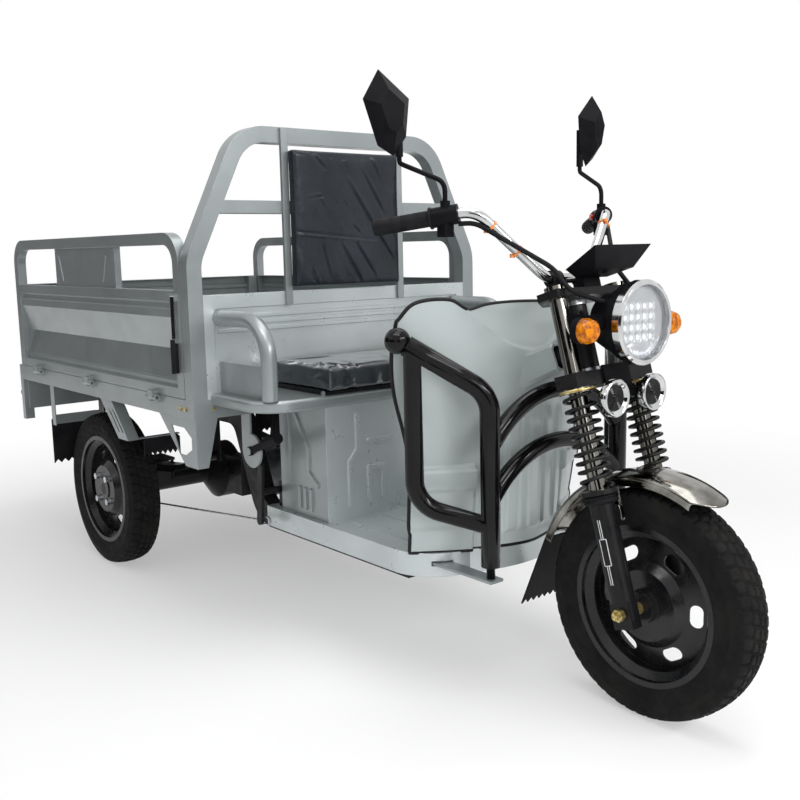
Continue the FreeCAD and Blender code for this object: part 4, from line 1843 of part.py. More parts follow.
def bed_hinge_ears():
    """Outer knuckles of every hinge, welded to the bed edge."""
    ears = []
    for line in hinge_lines(0):
        for start_share, end_share in BED_EAR_SHARES:
            knuckle = hinge_ear(line, start_share, end_share)
            bounds = knuckle.BoundBox
            low = HINGE_Z - HINGE_WEB_DROP
            inward_x = 0 if abs(line[0].y) > BOX_HALF else HINGE_STANDOFF + BED_CHANNEL_WALL / 2
            y0, y1 = bounds.YMin + HINGE_RADIUS / 2, bounds.YMax - HINGE_RADIUS / 2
            x0, x1 = bounds.XMin, bounds.XMax
            if inward_x == 0:
                edge = BOX_HALF - BED_CHANNEL_WALL / 2
                y0, y1 = (-HINGE_Y, -edge) if line[0].y < 0 else (edge, HINGE_Y)
            else:
                x0, x1 = BOX_REAR_X - HINGE_STANDOFF, BOX_REAR_X + BED_CHANNEL_WALL / 2
                y0, y1 = bounds.YMin, bounds.YMax
            web = box(x0, x1, y0, y1, low, HINGE_Z)
            ears.append(fuse([knuckle, web]))
    return ears


def hinge_pins():
    """Pins of all gate hinges."""
    return Part.makeCompound([rod(line[0], line[1], HINGE_PIN_RADIUS) for line in hinge_lines(0)])


def gate_skin(start, end, bottom):
    """Pressed gate skin along X with its outer face on Y = 0, folded along its length."""
    height = PANEL_TOP_Z - bottom
    outer = []
    inner = []
    for down_share, depth_share in GATE_PROFILE_SHARES:
        z = PANEL_TOP_Z - height * down_share
        depth = (GATE_THICKNESS - GATE_SKIN) * depth_share
        outer.append(V(start, depth, z))
        inner.append(V(start, depth + GATE_SKIN, z))
    return plate(outer + inner[::-1], V(end - start, 0, 0))


def gate_panel(start, end):
    """Gate body along X, outer face on Y = 0: folded skin in a border frame, with closed ends."""
    bottom = HINGE_Z + HINGE_RADIUS + RUNNING_GAP
    pieces = [gate_skin(start + GATE_BORDER - SHEET, end - GATE_BORDER + SHEET, bottom)]
    for x0, x1 in ((start, start + GATE_BORDER), (end - GATE_BORDER, end)):
        post = box(x0, x1, 0, GATE_THICKNESS, bottom, PANEL_TOP_Z)
        hollow = box(x0 + GATE_SKIN, x1 - GATE_SKIN, GATE_SKIN, GATE_THICKNESS - GATE_SKIN,
                     bottom - OVERRUN,
                     PANEL_TOP_Z - GATE_SKIN)
        pieces.append(post.cut(hollow))
    pieces.append(box(start, end, 0, GATE_THICKNESS, PANEL_TOP_Z - GATE_SKIN, PANEL_TOP_Z))
    pieces.append(box(start, end, 0, GATE_THICKNESS, bottom, bottom + GATE_SKIN))
    return pieces


def gate_knuckles(lines, toward):
    """Middle knuckles of the hinges with a web up to the gate."""
    ears = []
    bottom = HINGE_Z + HINGE_RADIUS + RUNNING_GAP + GATE_SKIN
    for line in lines:
        knuckle = hinge_ear(line, *GATE_EAR_SHARES)
        bounds = knuckle.BoundBox
        low = V(bounds.XMin, bounds.YMin, HINGE_Z)
        high = V(bounds.XMax, bounds.YMax, bottom + HINGE_RADIUS)
        reach = toward * (HINGE_STANDOFF + GATE_SKIN / 2)
        clear = toward * (HINGE_STANDOFF - RUNNING_GAP)
        webs = []
        for toe, floor in ((clear, HINGE_Z), (reach, bottom)):
            if toward.y != 0:
                middle = (low.y + high.y) / 2
                y0, y1 = sorted((middle - toward.y * HINGE_RADIUS, middle + toe.y))
                webs.append(box(low.x, high.x, y0, y1, floor, high.z))
            else:
                middle = (low.x + high.x) / 2
                x0, x1 = sorted((middle - toward.x * HINGE_RADIUS, middle + toe.x))
                webs.append(box(x0, x1, low.y, high.y, floor, high.z))
        ears.append(fuse([knuckle] + webs))
    return ears


def side_gate():
    """Right drop side: folded panel, hoop rail above it and a pressed centre plate."""
    start, end = BOX_REAR_X, GATE_FRONT_X
    pieces = gate_panel(start, end)
    half = GATE_RAIL_HEIGHT / 2
    middle_y = GATE_THICKNESS / 2
    top = GATE_TOP_Z - half
    rail_line = [V(start + half, middle_y, PANEL_TOP_Z - GATE_SKIN), V(start + half, middle_y, top),
                 V(end - half, middle_y, top), V(end - half, middle_y, PANEL_TOP_Z - GATE_SKIN)]
    pieces.append(box_tube(rail_line, GATE_RAIL_BEND, LEFT, GATE_THICKNESS, GATE_RAIL_HEIGHT,
                           GATE_RAIL_WALL))
    run = end - start
    x0 = start + run * GATE_PLATE_START_SHARE
    x1 = start + run * GATE_PLATE_END_SHARE
    gap = (GATE_THICKNESS - GATE_PLATE_THICKNESS) / 2
    tall = top - PANEL_TOP_Z
    panel = box(x0, x1, gap, GATE_THICKNESS - gap, PANEL_TOP_Z - GATE_SKIN, top - half + GATE_RAIL_WALL / 2)
    hollow = box(x0 + GATE_SKIN, x1 - GATE_SKIN, gap + GATE_SKIN, GATE_THICKNESS,
                 PANEL_TOP_Z - GATE_SKIN - OVERRUN,
                 top + OVERRUN)
    panel = panel.cut(hollow)
    low_share, high_share = GATE_SLASH_HEIGHT_SHARES
    for foot_share, head_share in GATE_SLASH_SHARES:
        foot = V(x0 + (x1 - x0) * foot_share, gap + GATE_SKIN / 2, PANEL_TOP_Z + tall * low_share)
        head = V(x0 + (x1 - x0) * head_share, gap + GATE_SKIN / 2, PANEL_TOP_Z + tall * high_share)
        wide = V(GATE_SLASH_WIDTH, 0, 0)
        pieces.append(plate([foot, foot + wide, head + wide, head], V(0, -GATE_SLASH_DEPTH, 0)))
    pieces.append(panel)
    latch_x = end - LATCH_INSET
    for side in (-1, 1):
        x = latch_x + side * (LATCH_WIDTH / 2 + RUNNING_GAP)
        ear = box(min(x, x + side * SHEET), max(x, x + side * SHEET), -LATCH_THICKNESS, GATE_SKIN / 2,
                  LATCH_PIVOT_Z - LATCH_THICKNESS, LATCH_PIVOT_Z + LATCH_THICKNESS)
        pieces.append(ear)
    pin_y = -LATCH_THICKNESS / 2 - RUNNING_GAP
    pin_half = LATCH_WIDTH / 2 + SHEET + RUNNING_GAP
    pieces.append(rod(V(latch_x - pin_half, pin_y, LATCH_PIVOT_Z),
                      V(latch_x + pin_half, pin_y, LATCH_PIVOT_Z),
                      LATCH_PIN_RADIUS - SHEET))
    blank = fuse(pieces)
    blank.translate(V(0, -BOX_HALF, 0))
    knuckles = gate_knuckles(hinge_lines(0)[:len(HINGE_SHARES)], LEFT)
    gate = fuse([blank] + knuckles)
    for line in hinge_lines(0)[:len(HINGE_SHARES)]:
        gate = gate.cut(rod(line[0], line[1], HINGE_PIN_RADIUS + RUNNING_GAP))
    return gate


def latch_lever():
    """Over-centre latch lever of the right gate with its rubber-covered handle."""
    x = GATE_FRONT_X - LATCH_INSET
    pivot = V(x, -BOX_HALF - LATCH_THICKNESS / 2 - RUNNING_GAP, LATCH_PIVOT_Z)
    half = LATCH_WIDTH / 2
    thick = LATCH_THICKNESS / 2
    shank_low = LATCH_PIVOT_Z - LATCH_LENGTH + LATCH_GRIP_LENGTH
    shank = box(x - half, x + half, pivot.y - thick, pivot.y + thick, shank_low, LATCH_PIVOT_Z)
    eye = rod(pivot - FORWARD * half, pivot + FORWARD * half, thick)
    grip_top = V(x, pivot.y - LATCH_GRIP_RADIUS + thick, shank_low + LATCH_THICKNESS)
    grip_end = grip_top - UP * LATCH_GRIP_LENGTH
    handle = rod(grip_end, grip_top, LATCH_GRIP_RADIUS)
    lever = fuse([shank, eye, handle])
    hole = LATCH_PIN_RADIUS - SHEET + RUNNING_GAP
    return lever.cut(rod(pivot - FORWARD * LATCH_WIDTH, pivot + FORWARD * LATCH_WIDTH, hole))


def tail_gate():
    """Tail gate: folded panel across the rear, without a hoop."""
    half = tail_half()
    blank = fuse(gate_panel(-half, half))
    blank.rotate(ORIGIN, UP, -90.0)
    blank.translate(V(BOX_REAR_X, 0, 0))
    lines = hinge_lines(0)[2 * len(HINGE_SHARES):]
    gate = fuse([blank] + gate_knuckles(lines, FORWARD))
    for line in lines:
        gate = gate.cut(rod(line[0], line[1], HINGE_PIN_RADIUS + RUNNING_GAP))
    return gate


def front_wall():
    """Wall at the front of the bed between the hoop posts, grooved below its top rail."""
    half = BOX_HALF - HOOP_TUBE
    back = BOX_FRONT_X - WALL_DEPTH
    skin = box(BOX_FRONT_X - WALL_GROOVE_DEPTH - SHEET, BOX_FRONT_X - WALL_GROOVE_DEPTH, -half, half,
               BED_TOP_Z,
               WALL_TOP_Z)
    rail_part = box(back, BOX_FRONT_X, -half, half, WALL_TOP_Z - WALL_RAIL_HEIGHT, WALL_TOP_Z)
    hollow = box(back - OVERRUN, BOX_FRONT_X - SHEET, -half + SHEET, half - SHEET,
                 WALL_TOP_Z - WALL_RAIL_HEIGHT + SHEET, WALL_TOP_Z - SHEET)
    pieces = [skin, rail_part.cut(hollow)]
    groove_top = WALL_TOP_Z - WALL_RAIL_HEIGHT - WALL_GROOVE_STEP
    for index in range(WALL_GROOVES):
        top = groove_top - index * WALL_GROOVE_STEP
        pieces.append(box(BOX_FRONT_X - WALL_GROOVE_DEPTH - SHEET, BOX_FRONT_X, -half + HOOP_TUBE,
                          half - HOOP_TUBE,
                          top - WALL_GROOVE_HEIGHT, top))
    pieces.append(box(back, BOX_FRONT_X, -half, half, BED_TOP_Z, BED_TOP_Z + SHEET))
    for side in (-1, 1):
        edge = side * half
        inner = side * (half - HOOP_TUBE * WALL_EDGE_SHARE)
        pieces.append(box(BOX_FRONT_X - WALL_GROOVE_DEPTH - SHEET, BOX_FRONT_X, min(edge, inner),
                          max(edge, inner),
                          BED_TOP_Z, WALL_TOP_Z))
    return fuse(pieces)


def headboard_hoop():
    """Square-tube hoop that leans in above the wall, with a cross bar and two backrest strips."""
    x = BOX_FRONT_X - HOOP_TUBE / 2
    foot_half = BOX_HALF - HOOP_TUBE / 2
    top = HOOP_TOP_Z - HOOP_TUBE / 2
    line = [V(x, -foot_half, BED_TOP_Z), V(x, -foot_half, HOOP_SHOULDER_Z), V(x, -HOOP_TOP_HALF, top),
            V(x, HOOP_TOP_HALF, top), V(x, foot_half, HOOP_SHOULDER_Z), V(x, foot_half, BED_TOP_Z)]
    hoop = box_tube(line, HOOP_TOP_BEND, FORWARD, HOOP_TUBE, HOOP_TUBE, HOOP_TUBE_WALL)
    lean_share = (HOOP_BAR_Z - HOOP_SHOULDER_Z) / (top - HOOP_SHOULDER_Z)
    bar_half = foot_half - (foot_half - HOOP_TOP_HALF) * lean_share
    bar = box(BOX_FRONT_X - HOOP_TUBE + HOOP_TUBE_WALL, BOX_FRONT_X, -bar_half, bar_half,
              HOOP_BAR_Z - HOOP_BAR_HEIGHT / 2, HOOP_BAR_Z + HOOP_BAR_HEIGHT / 2)
    wall = HOOP_TUBE_WALL
    bar = bar.cut(box(BOX_FRONT_X - HOOP_TUBE - OVERRUN, BOX_FRONT_X - wall, -bar_half + wall,
                      bar_half - wall,
                      HOOP_BAR_Z - HOOP_BAR_HEIGHT / 2 + wall, HOOP_BAR_Z + HOOP_BAR_HEIGHT / 2 - wall))
    pieces = [hoop, bar]
    for side in (-1, 1):
        y = side * STRIP_HALF_SPAN
        pieces.append(box(BOX_FRONT_X - wall / 2, BOX_FRONT_X + STRIP_THICKNESS, y - STRIP_WIDTH / 2,
                          y + STRIP_WIDTH / 2, WALL_TOP_Z - WALL_RAIL_HEIGHT, HOOP_TOP_Z - wall))
    wall_room = box(BOX_FRONT_X - WALL_DEPTH, BOX_FRONT_X, -BOX_HALF + HOOP_TUBE, BOX_HALF - HOOP_TUBE,
                    BED_TOP_Z,
                    WALL_TOP_Z)
    return fuse(pieces).cut(wall_room)


def tail_lamp():
    """Rear lamp on the valance under the tail gate."""
    y0 = TAIL_LAMP_HALF_SPAN - TAIL_LAMP_WIDTH / 2
    z0 = VALANCE_BOTTOM_Z + (BED_BOTTOM_Z - VALANCE_BOTTOM_Z - TAIL_LAMP_HEIGHT) / 2
    lamp = box(BOX_REAR_X - TAIL_LAMP_DEPTH, BOX_REAR_X, y0, y0 + TAIL_LAMP_WIDTH, z0,
               z0 + TAIL_LAMP_HEIGHT)
    rear_edges = [edge for edge in lamp.Edges if edge.BoundBox.XMax < BOX_REAR_X - TAIL_LAMP_DEPTH / 2]
    return lamp.makeFillet(TAIL_LAMP_EDGE, rear_edges)


def rear_axle():
    """Axle housing with gear case, wheel stubs, spring pads, clamps, drum plates and cam arms."""
    centre = V(REAR_X, 0, AXLE_Z)
    half = LEFT * AXLE_TUBE_HALF
    pieces = [rod(centre - half, centre + half, AXLE_TUBE_RADIUS)]
    case_half = DIFF_WIDTH / 2
    rim_half = case_half * DIFF_RIM_SHARE
    case_profile = [(0, -case_half), (DIFF_NECK_RADIUS, -case_half), (DIFF_RADIUS, -rim_half),
                    (DIFF_RADIUS, rim_half), (DIFF_NECK_RADIUS, case_half), (0, case_half)]
    pieces.append(turned(case_profile, centre, LEFT))
    bridge = MOTOR_RADIUS * MOTOR_BRIDGE_SHARE
    pieces.append(box(REAR_X, REAR_X + MOTOR_AHEAD, -rim_half, rim_half, AXLE_Z - bridge, AXLE_Z + bridge))
    stub_end = HALF_TRACK + REAR_HUB_WIDTH / 2
    pieces.append(rod(centre - LEFT * stub_end, centre + LEFT * stub_end, AXLE_STUB_RADIUS))
    leaf_top = leaf_centre_z() - leaf_radius()
    for side in (-1, 1):
        y = side * RAIL_Y
        wide = LEAF_WIDTH / 2
        pieces.append(box(REAR_X - CLAMP_LENGTH / 2, REAR_X + CLAMP_LENGTH / 2, y - wide, y + wide, AXLE_Z,
                          AXLE_Z + AXLE_TUBE_RADIUS + LEAF_PAD - LEAF_THICKNESS / 2))
        pieces.append(box(REAR_X - LEAF_THICKNESS, REAR_X + LEAF_THICKNESS, y - wide, y + wide, AXLE_Z,
                          AXLE_Z + AXLE_TUBE_RADIUS + LEAF_PAD))
        clamp_low = leaf_top + LEAF_THICKNESS / 2
        bolt = CLAMP_BOLT_RADIUS
        margin = wide + 3 * bolt
        pieces.append(box(REAR_X - CLAMP_LENGTH / 2, REAR_X + CLAMP_LENGTH / 2, y - margin, y + margin,
                          clamp_low, clamp_low + CLAMP_THICKNESS))
        for x in (REAR_X - CLAMP_LENGTH / 2 + bolt, REAR_X + CLAMP_LENGTH / 2 - bolt):
            for across in (-wide - 3 * bolt / 2, wide + 3 * bolt / 2):
                pieces.append(rod(V(x, y + across, AXLE_Z), V(x, y + across, clamp_low + CLAMP_THICKNESS),
                                  bolt))
        pieces.append(box(REAR_X - CLAMP_LENGTH / 2, REAR_X + CLAMP_LENGTH / 2, y - margin, y + margin,
                          AXLE_Z - CLAMP_THICKNESS / 2, AXLE_Z + CLAMP_THICKNESS / 2))
        plate_in = side * AXLE_TUBE_HALF
        plate_out = side * (AXLE_TUBE_HALF + BACK_PLATE_THICKNESS)
        pieces.append(rod(V(REAR_X, plate_in, AXLE_Z), V(REAR_X, plate_out, AXLE_Z), DRUM_RADIUS))
        pieces.append(cam_arm(side))
    return fuse(pieces)


def cam_place(side):
    """Pin of a brake cam arm, where a brake rod ends."""
    return V(REAR_X + ROD_REAR_AHEAD, side * (SHAFT_ARM_Y - CAM_ARM_THICKNESS), ROD_REAR_Z)


def cam_arm(side):
    """Arm on a drum plate whose pin takes the rear eye of a brake rod."""
    pin = cam_place(side)
    inner = V(0, -side * CAM_ARM_THICKNESS, 0)
    root = V(REAR_X + DRUM_RADIUS * CAM_ROOT_SHARE, pin.y, AXLE_Z)
    across = (root - pin).cross(LEFT).normalize() * ROD_EYE_RADIUS
    bar = plate([pin + across, root + across, root - across, pin - across], inner)
    eye = rod(pin, pin + inner, ROD_EYE_RADIUS)
    stud = rod(pin + inner, pin + LEFT * (side * (ROD_THICKNESS + RUNNING_GAP)), ROD_PIN_RADIUS)
    post_end = V(root.x, side * (AXLE_TUBE_HALF + BACK_PLATE_THICKNESS / 2), root.z)
    post = rod(root + inner, post_end, ROD_EYE_RADIUS)
    return fuse([bar, eye, stud, post])


def rod_pin_place(side):
    """Pin at the foot of a brake shaft arm, where a brake rod starts."""
    centre = shaft_centre()
    return V(centre.x - SHAFT_ARM_LEAN, side * SHAFT_ARM_Y, centre.z - SHAFT_ARM_FALL)


def brake_rod(side):
    """Brake rod with a round rear eye and a slotted front eye beside the shaft arm."""
    rear = cam_place(side) + LEFT * (side * RUNNING_GAP)
    front_pin = rod_pin_place(side)
    front = V(front_pin.x, rear.y, front_pin.z)
    run = (front - rear).normalize()
    thick = LEFT * (side * ROD_THICKNESS)
    middle = thick / 2
    inset = run * (ROD_EYE_RADIUS * ROD_END_SHARE)
    shank = rod(rear + middle + inset, front + middle - inset, ROD_RADIUS)
    rear_eye = rod(rear, rear + thick, ROD_EYE_RADIUS)
    slot_end = front + run * ROD_SLOT
    across = run.cross(LEFT).normalize() * ROD_EYE_RADIUS
    front_eye = fuse([rod(front, front + thick, ROD_EYE_RADIUS),
                      rod(slot_end, slot_end + thick, ROD_EYE_RADIUS),
                      plate([front + across, slot_end + across, slot_end - across, front - across], thick)])
    link = fuse([shank, rear_eye, front_eye])
    hole = ROD_PIN_RADIUS + RUNNING_GAP
    wide_hole = ROD_PIN_RADIUS + SHEET
    narrow = run.cross(LEFT).normalize() * wide_hole
    link = link.cut(rod(rear - thick, rear + thick * 2, hole))
    for place in (front, slot_end):
        link = link.cut(rod(place - thick, place + thick * 2, wide_hole))
    base = thick * -1
    return link.cut(plate([front + base + narrow, slot_end + base + narrow, slot_end + base - narrow,
                           front + base - narrow], thick * 3))


def brake_shaft():
    """Cross shaft with a two-ended arm at each side and the pins that pull the brake rods."""
    centre = shaft_centre()
    end = SHAFT_ARM_Y + SHAFT_ARM_THICKNESS
    pieces = [rod(centre - LEFT * end, centre + LEFT * end, SHAFT_RADIUS)]
    for side in (-1, 1):
        inner = V(0, side * SHAFT_ARM_Y, 0)
        thick = V(0, side * SHAFT_ARM_THICKNESS, 0)
        top = centre + inner + V(SHAFT_ARM_LEAN * SHAFT_ARM_TOP_SHARE, 0, SHAFT_ARM_RISE)
        foot = rod_pin_place(side)
        wide = V(SHAFT_ARM_WIDTH / 2, 0, 0)
        middle = centre + inner
        pieces.append(plate([top - wide, top + wide, middle + wide, middle - wide], thick))
        pieces.append(plate([middle - wide, middle + wide, foot + wide, foot - wide], thick))
        pieces.append(rod(foot, foot + thick, SHAFT_ARM_WIDTH / 2))
        pieces.append(rod(top, top + thick, SHAFT_ARM_WIDTH / 2))
        pin_reach = side * (CAM_ARM_THICKNESS + RUNNING_GAP)
        pieces.append(rod(foot + thick / 2, V(foot.x, foot.y - pin_reach, foot.z), ROD_PIN_RADIUS))
    return fuse(pieces)


def brake_pedal():
    """Foot pedal on its floor lugs: pivot tube, arm and ribbed pad."""
    pivot = V(AXLE_X - PEDAL_BACK, -PEDAL_Y, PEDAL_PIVOT_Z)
    half = PEDAL_ARM_WIDTH / 2
    tilt = math.radians(PEDAL_TILT_DEGREES)
    reach = V(math.cos(tilt), 0, math.sin(tilt)) * PEDAL_ARM_LENGTH
    across = V(-math.sin(tilt), 0, math.cos(tilt)) * PEDAL_ARM_DEPTH
    start = pivot - LEFT * half
    deep = across / 2
    arm = plate([start - deep, start + reach - deep, start + reach + deep, start + deep],
                LEFT * PEDAL_ARM_WIDTH)
    eye = rod(start, start + LEFT * PEDAL_ARM_WIDTH, PEDAL_PIN_RADIUS * 2)
    head = pivot + reach
    along = reach * (PEDAL_PAD_LENGTH / 2 / PEDAL_ARM_LENGTH)
    lift = across * (PEDAL_PAD_THICKNESS / PEDAL_ARM_DEPTH)
    side = LEFT * (PEDAL_PAD_WIDTH / 2)
    foot = head - side - along
    pad = plate([foot, foot + along * 2, foot + along * 2 + lift, foot + lift], side * 2)
    ribs = []
    width = along * PEDAL_RIB_WIDTH_SHARE
    rise = lift * PEDAL_RIB_RISE_SHARE
    for share in PEDAL_RIB_SHARES:
        root = foot + along * (2 * share) + lift * PEDAL_RIB_ROOT_SHARE
        ribs.append(plate([root - width, root + width, root + width + rise, root - width + rise], side * 2))
    pin_half = half + PEDAL_LUG_GAP + PEDAL_LUG_THICKNESS
    pedal = fuse([arm, eye, pad] + ribs)
    pin = rod(pivot - LEFT * pin_half, pivot + LEFT * pin_half, PEDAL_PIN_RADIUS - RUNNING_GAP)
    return fuse([pedal, pin])


def hand_lever():
    """Parking brake lever with its rubber knob, outside the quadrant plate."""
    pivot = lever_pivot()
    angle = math.radians(LEVER_ANGLE_DEGREES)
    heading = V(math.cos(angle), 0, math.sin(angle))
    across = V(-math.sin(angle), 0, math.cos(angle)) * (LEVER_WIDTH / 2)
    thick = V(0, -LEVER_THICKNESS, 0)
    end = pivot + heading * LEVER_LENGTH
    bar = plate([pivot - across, end - across, end + across, pivot + across], thick)
    eye = rod(pivot, pivot + thick, LEVER_WIDTH / 2 + PEDAL_PIN_RADIUS / 2)
    knob_start = end - heading * LEVER_WIDTH + thick / 2
    knob_end = knob_start + heading * LEVER_KNOB_LENGTH
    knob = rod(knob_start, knob_end, LEVER_KNOB_RADIUS)
    lever = fuse([bar, eye, knob])
    return lever.cut(rod(pivot - thick, pivot + thick * 2, PEDAL_PIN_RADIUS + RUNNING_GAP))


def leaf_spring(side):
    """Stack of curved leaves with a rolled eye at each end of the main leaf."""
    y = side * RAIL_Y
    centre = V(REAR_X, y, leaf_centre_z())
    half_angle = math.degrees(math.asin(LEAF_HALF_LENGTH / leaf_radius()))
    half = LEAF_WIDTH / 2
    leaves = []
    for index in range(LEAF_COUNT):
        inner = leaf_radius() + index * LEAF_THICKNESS
        profile = [(inner, -half), (inner + LEAF_THICKNESS, -half), (inner + LEAF_THICKNESS, half),
                   (inner, half)]
        share = LEAF_LENGTH_SHARES[index]
        sweep = 2 * half_angle * share
        leaf = turned(profile, centre, LEFT, sweep)
        leaf.rotate(centre, LEFT, 180.0 - sweep / 2)
        leaves.append(leaf)
    for eye in leaf_eye_places():
        place = V(eye.x, y, eye.z)
        leaves.append(rod(place - LEFT * half, place + LEFT * half, LEAF_EYE_RADIUS))
    stack = fuse(leaves)
    for eye in leaf_eye_places():
        place = V(eye.x, y, eye.z)
        stack = stack.cut(rod(place - LEFT * LEAF_WIDTH, place + LEFT * LEAF_WIDTH,
                              LEAF_PIN_RADIUS + RUNNING_GAP))
    return stack


def drive_motor():
    """Traction motor bolted to the side of the gear case, parallel to the axle."""
    start = V(REAR_X + MOTOR_AHEAD, DIFF_WIDTH / 2 * DIFF_RIM_SHARE, AXLE_Z)
    end = start + LEFT * MOTOR_LENGTH
    can = rod(start, end, MOTOR_RADIUS)
    cap = rod(end, end + LEFT * MOTOR_END_LENGTH, MOTOR_END_RADIUS)
    return fuse([can, cap])


def brake_drum(side):
    """Drum between the drum plate and the rear wheel disc."""
    inner = side * (AXLE_TUBE_HALF + BACK_PLATE_THICKNESS + RUNNING_GAP)
    outer = side * (HALF_TRACK - REAR_HUB_WIDTH / 2)
    drum = rod(V(REAR_X, inner, AXLE_Z), V(REAR_X, outer, AXLE_Z), DRUM_RADIUS)
    hollow_end = inner + side * DRUM_WIDTH * DRUM_HOLLOW_SHARE
    drum = drum.cut(rod(V(REAR_X, inner - side * OVERRUN, AXLE_Z), V(REAR_X, hollow_end, AXLE_Z),
                        DRUM_RADIUS - TYRE_WALL))
    return drum.cut(rod(V(REAR_X, 0, AXLE_Z), V(REAR_X, side * HALF_TRACK, AXLE_Z),
                        AXLE_STUB_RADIUS + RUNNING_GAP))


def rear_wheel_centre(side):
    """Middle of a rear wheel."""
    return V(REAR_X, side * HALF_TRACK, AXLE_Z)


def wheel_nuts(side):
    """Wheel nuts and hub cap on the outer face of a rear wheel."""
    centre = rear_wheel_centre(side)
    face = centre + LEFT * (side * (WELL_WIDTH / 2 + DISC_DISH))
    nuts = []
    for index in range(WHEEL_NUT_COUNT):
        turn = 2 * math.pi * (index + 0.5) / WHEEL_NUT_COUNT
        place = face + V(math.cos(turn), 0, math.sin(turn)) * WHEEL_NUT_CIRCLE
        corners = []
        for step in range(6):
            flat = math.radians(60 * step)
            corners.append(place + V(WHEEL_NUT_RADIUS * math.cos(flat), 0,
                                     WHEEL_NUT_RADIUS * math.sin(flat)))
        nuts.append(plate(corners, LEFT * (side * WHEEL_NUT_LENGTH)))
    return nuts


def main():
    """Build every sub-part and write it to its own file."""
    os.makedirs("parts", exist_ok=True)
    front_centre = V(AXLE_X, 0, AXLE_Z)
    save("front_tyre", tyre(front_centre))
    save("front_rim", rim(front_centre, -1, FRONT_HUB_WIDTH, FRONT_AXLE_RADIUS + RUNNING_GAP))
    save("front_axle", front_axle())
    save("fork_legs", pair(to_fork(fork_leg())))
    save("fork_springs", pair(to_fork(fork_spring())))
    save("fork_tubes", pair(to_fork(fork_tube())))
    save("steering_stem", steering_stem())
    save("upper_yoke", upper_yoke())
    save("head_bearings", head_bearings())
    save("handlebar", handlebar())
    save("throttle_grip", grip(-1))
    save("left_grip", grip(1))
    save("switch_housings", Part.makeCompound([switch_housing(-1), switch_housing(1)]))
    save("horn_button", horn_button())
    save("control_cables", control_cables())
    save("mirror_stems", Part.makeCompound([mirror_stem(-1), mirror_stem(1)]))
    save("right_mirror", mirror_head(-1))
    save("left_mirror", mirror_head(1))
    save("headlight_shell", headlight_shell())
    save("headlight_ring", headlight_ring())
    save("headlight_lens", headlight_lens())
    save("turn_signals", pair(turn_signal()))
    save("horn_set", horn_set())
    save("display", display_housing())
    save("front_fender", front_fender())
    save("front_mud_flap", front_mud_flap())
    save("main_frame", main_frame())
    save("floor_pan", floor_pan())
    save("leg_shield", leg_shield())
    save("crash_guard", crash_guard())
    save("battery_box", battery_box())
    save("power_pack", power_pack())
    save("seat_shelf", seat_shelf())
    save("arm_hoops", pair(arm_hoop()))
    save("seat_base", seat_base())
    save("seat_cushion", seat_cushion())
    save("backrest_pad", backrest_pad())
    save("bed_frame", bed_frame())
    save("front_wall", front_wall())
    save("headboard_hoop", headboard_hoop())
    save("hinge_pins", hinge_pins())
    save("bed_bolts", bed_bolts())
    save("rear_mud_flaps", rear_mud_flaps())
    save("tail_lamps", pair(tail_lamp()))
    gate = side_gate()
    save("right_gate", gate)
    save("left_gate", mirrored(gate))
    save("tail_gate", tail_gate())
    latch = latch_lever()
    save("right_latch", latch)
    save("left_latch", mirrored(latch))
    save("rear_axle", rear_axle())
    save("drive_motor", drive_motor())
    save("leaf_springs", Part.makeCompound([leaf_spring(-1), leaf_spring(1)]))
    save("brake_shaft", brake_shaft())
    save("brake_rods", Part.makeCompound([brake_rod(-1), brake_rod(1)]))
    save("brake_pedal", brake_pedal())
    save("hand_lever", hand_lever())
    for name, side in (("right", -1), ("left", 1)):
        centre = rear_wheel_centre(side)
        save(name + "_rear_tyre", tyre(centre))
        wheel = rim(centre, side, REAR_HUB_WIDTH, AXLE_STUB_RADIUS + RUNNING_GAP)
        save(name + "_rear_rim", fuse([wheel, brake_drum(side)] + wheel_nuts(side)))


main()
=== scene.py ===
import math
import bmesh
import bpy
from mathutils import Matrix, Vector, noise


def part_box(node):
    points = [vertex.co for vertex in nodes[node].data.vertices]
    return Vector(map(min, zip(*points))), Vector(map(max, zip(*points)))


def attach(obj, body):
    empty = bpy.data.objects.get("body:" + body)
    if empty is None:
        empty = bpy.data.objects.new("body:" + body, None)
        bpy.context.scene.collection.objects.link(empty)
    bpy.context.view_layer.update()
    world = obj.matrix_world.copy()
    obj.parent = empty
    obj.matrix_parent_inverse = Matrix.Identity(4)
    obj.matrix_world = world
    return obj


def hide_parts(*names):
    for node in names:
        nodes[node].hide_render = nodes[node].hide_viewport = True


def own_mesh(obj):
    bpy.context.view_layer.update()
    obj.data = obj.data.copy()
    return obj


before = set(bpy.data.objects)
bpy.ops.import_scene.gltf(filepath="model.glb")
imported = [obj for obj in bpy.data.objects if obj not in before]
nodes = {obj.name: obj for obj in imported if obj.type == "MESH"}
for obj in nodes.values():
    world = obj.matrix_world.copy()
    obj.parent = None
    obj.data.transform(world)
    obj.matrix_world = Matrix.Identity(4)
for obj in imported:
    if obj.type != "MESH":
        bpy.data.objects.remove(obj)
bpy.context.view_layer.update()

# Rear axle, leaf springs and drive motor: forged and welded steel, and a cast case.
# Dipped in black enamel, so the film is smooth, half glossy and a little uneven; the motor is bare alloy.


def tone(red, green, blue):
    """A colour as a paint chart gives it, 0 to 255, in the linear values that a shader takes."""
    return tuple((part / 255 / 12.92) if part < 11 else ((part / 255 + 0.055) / 1.055) ** 2.4
                 for part in (red, green, blue)) + (1.0,)


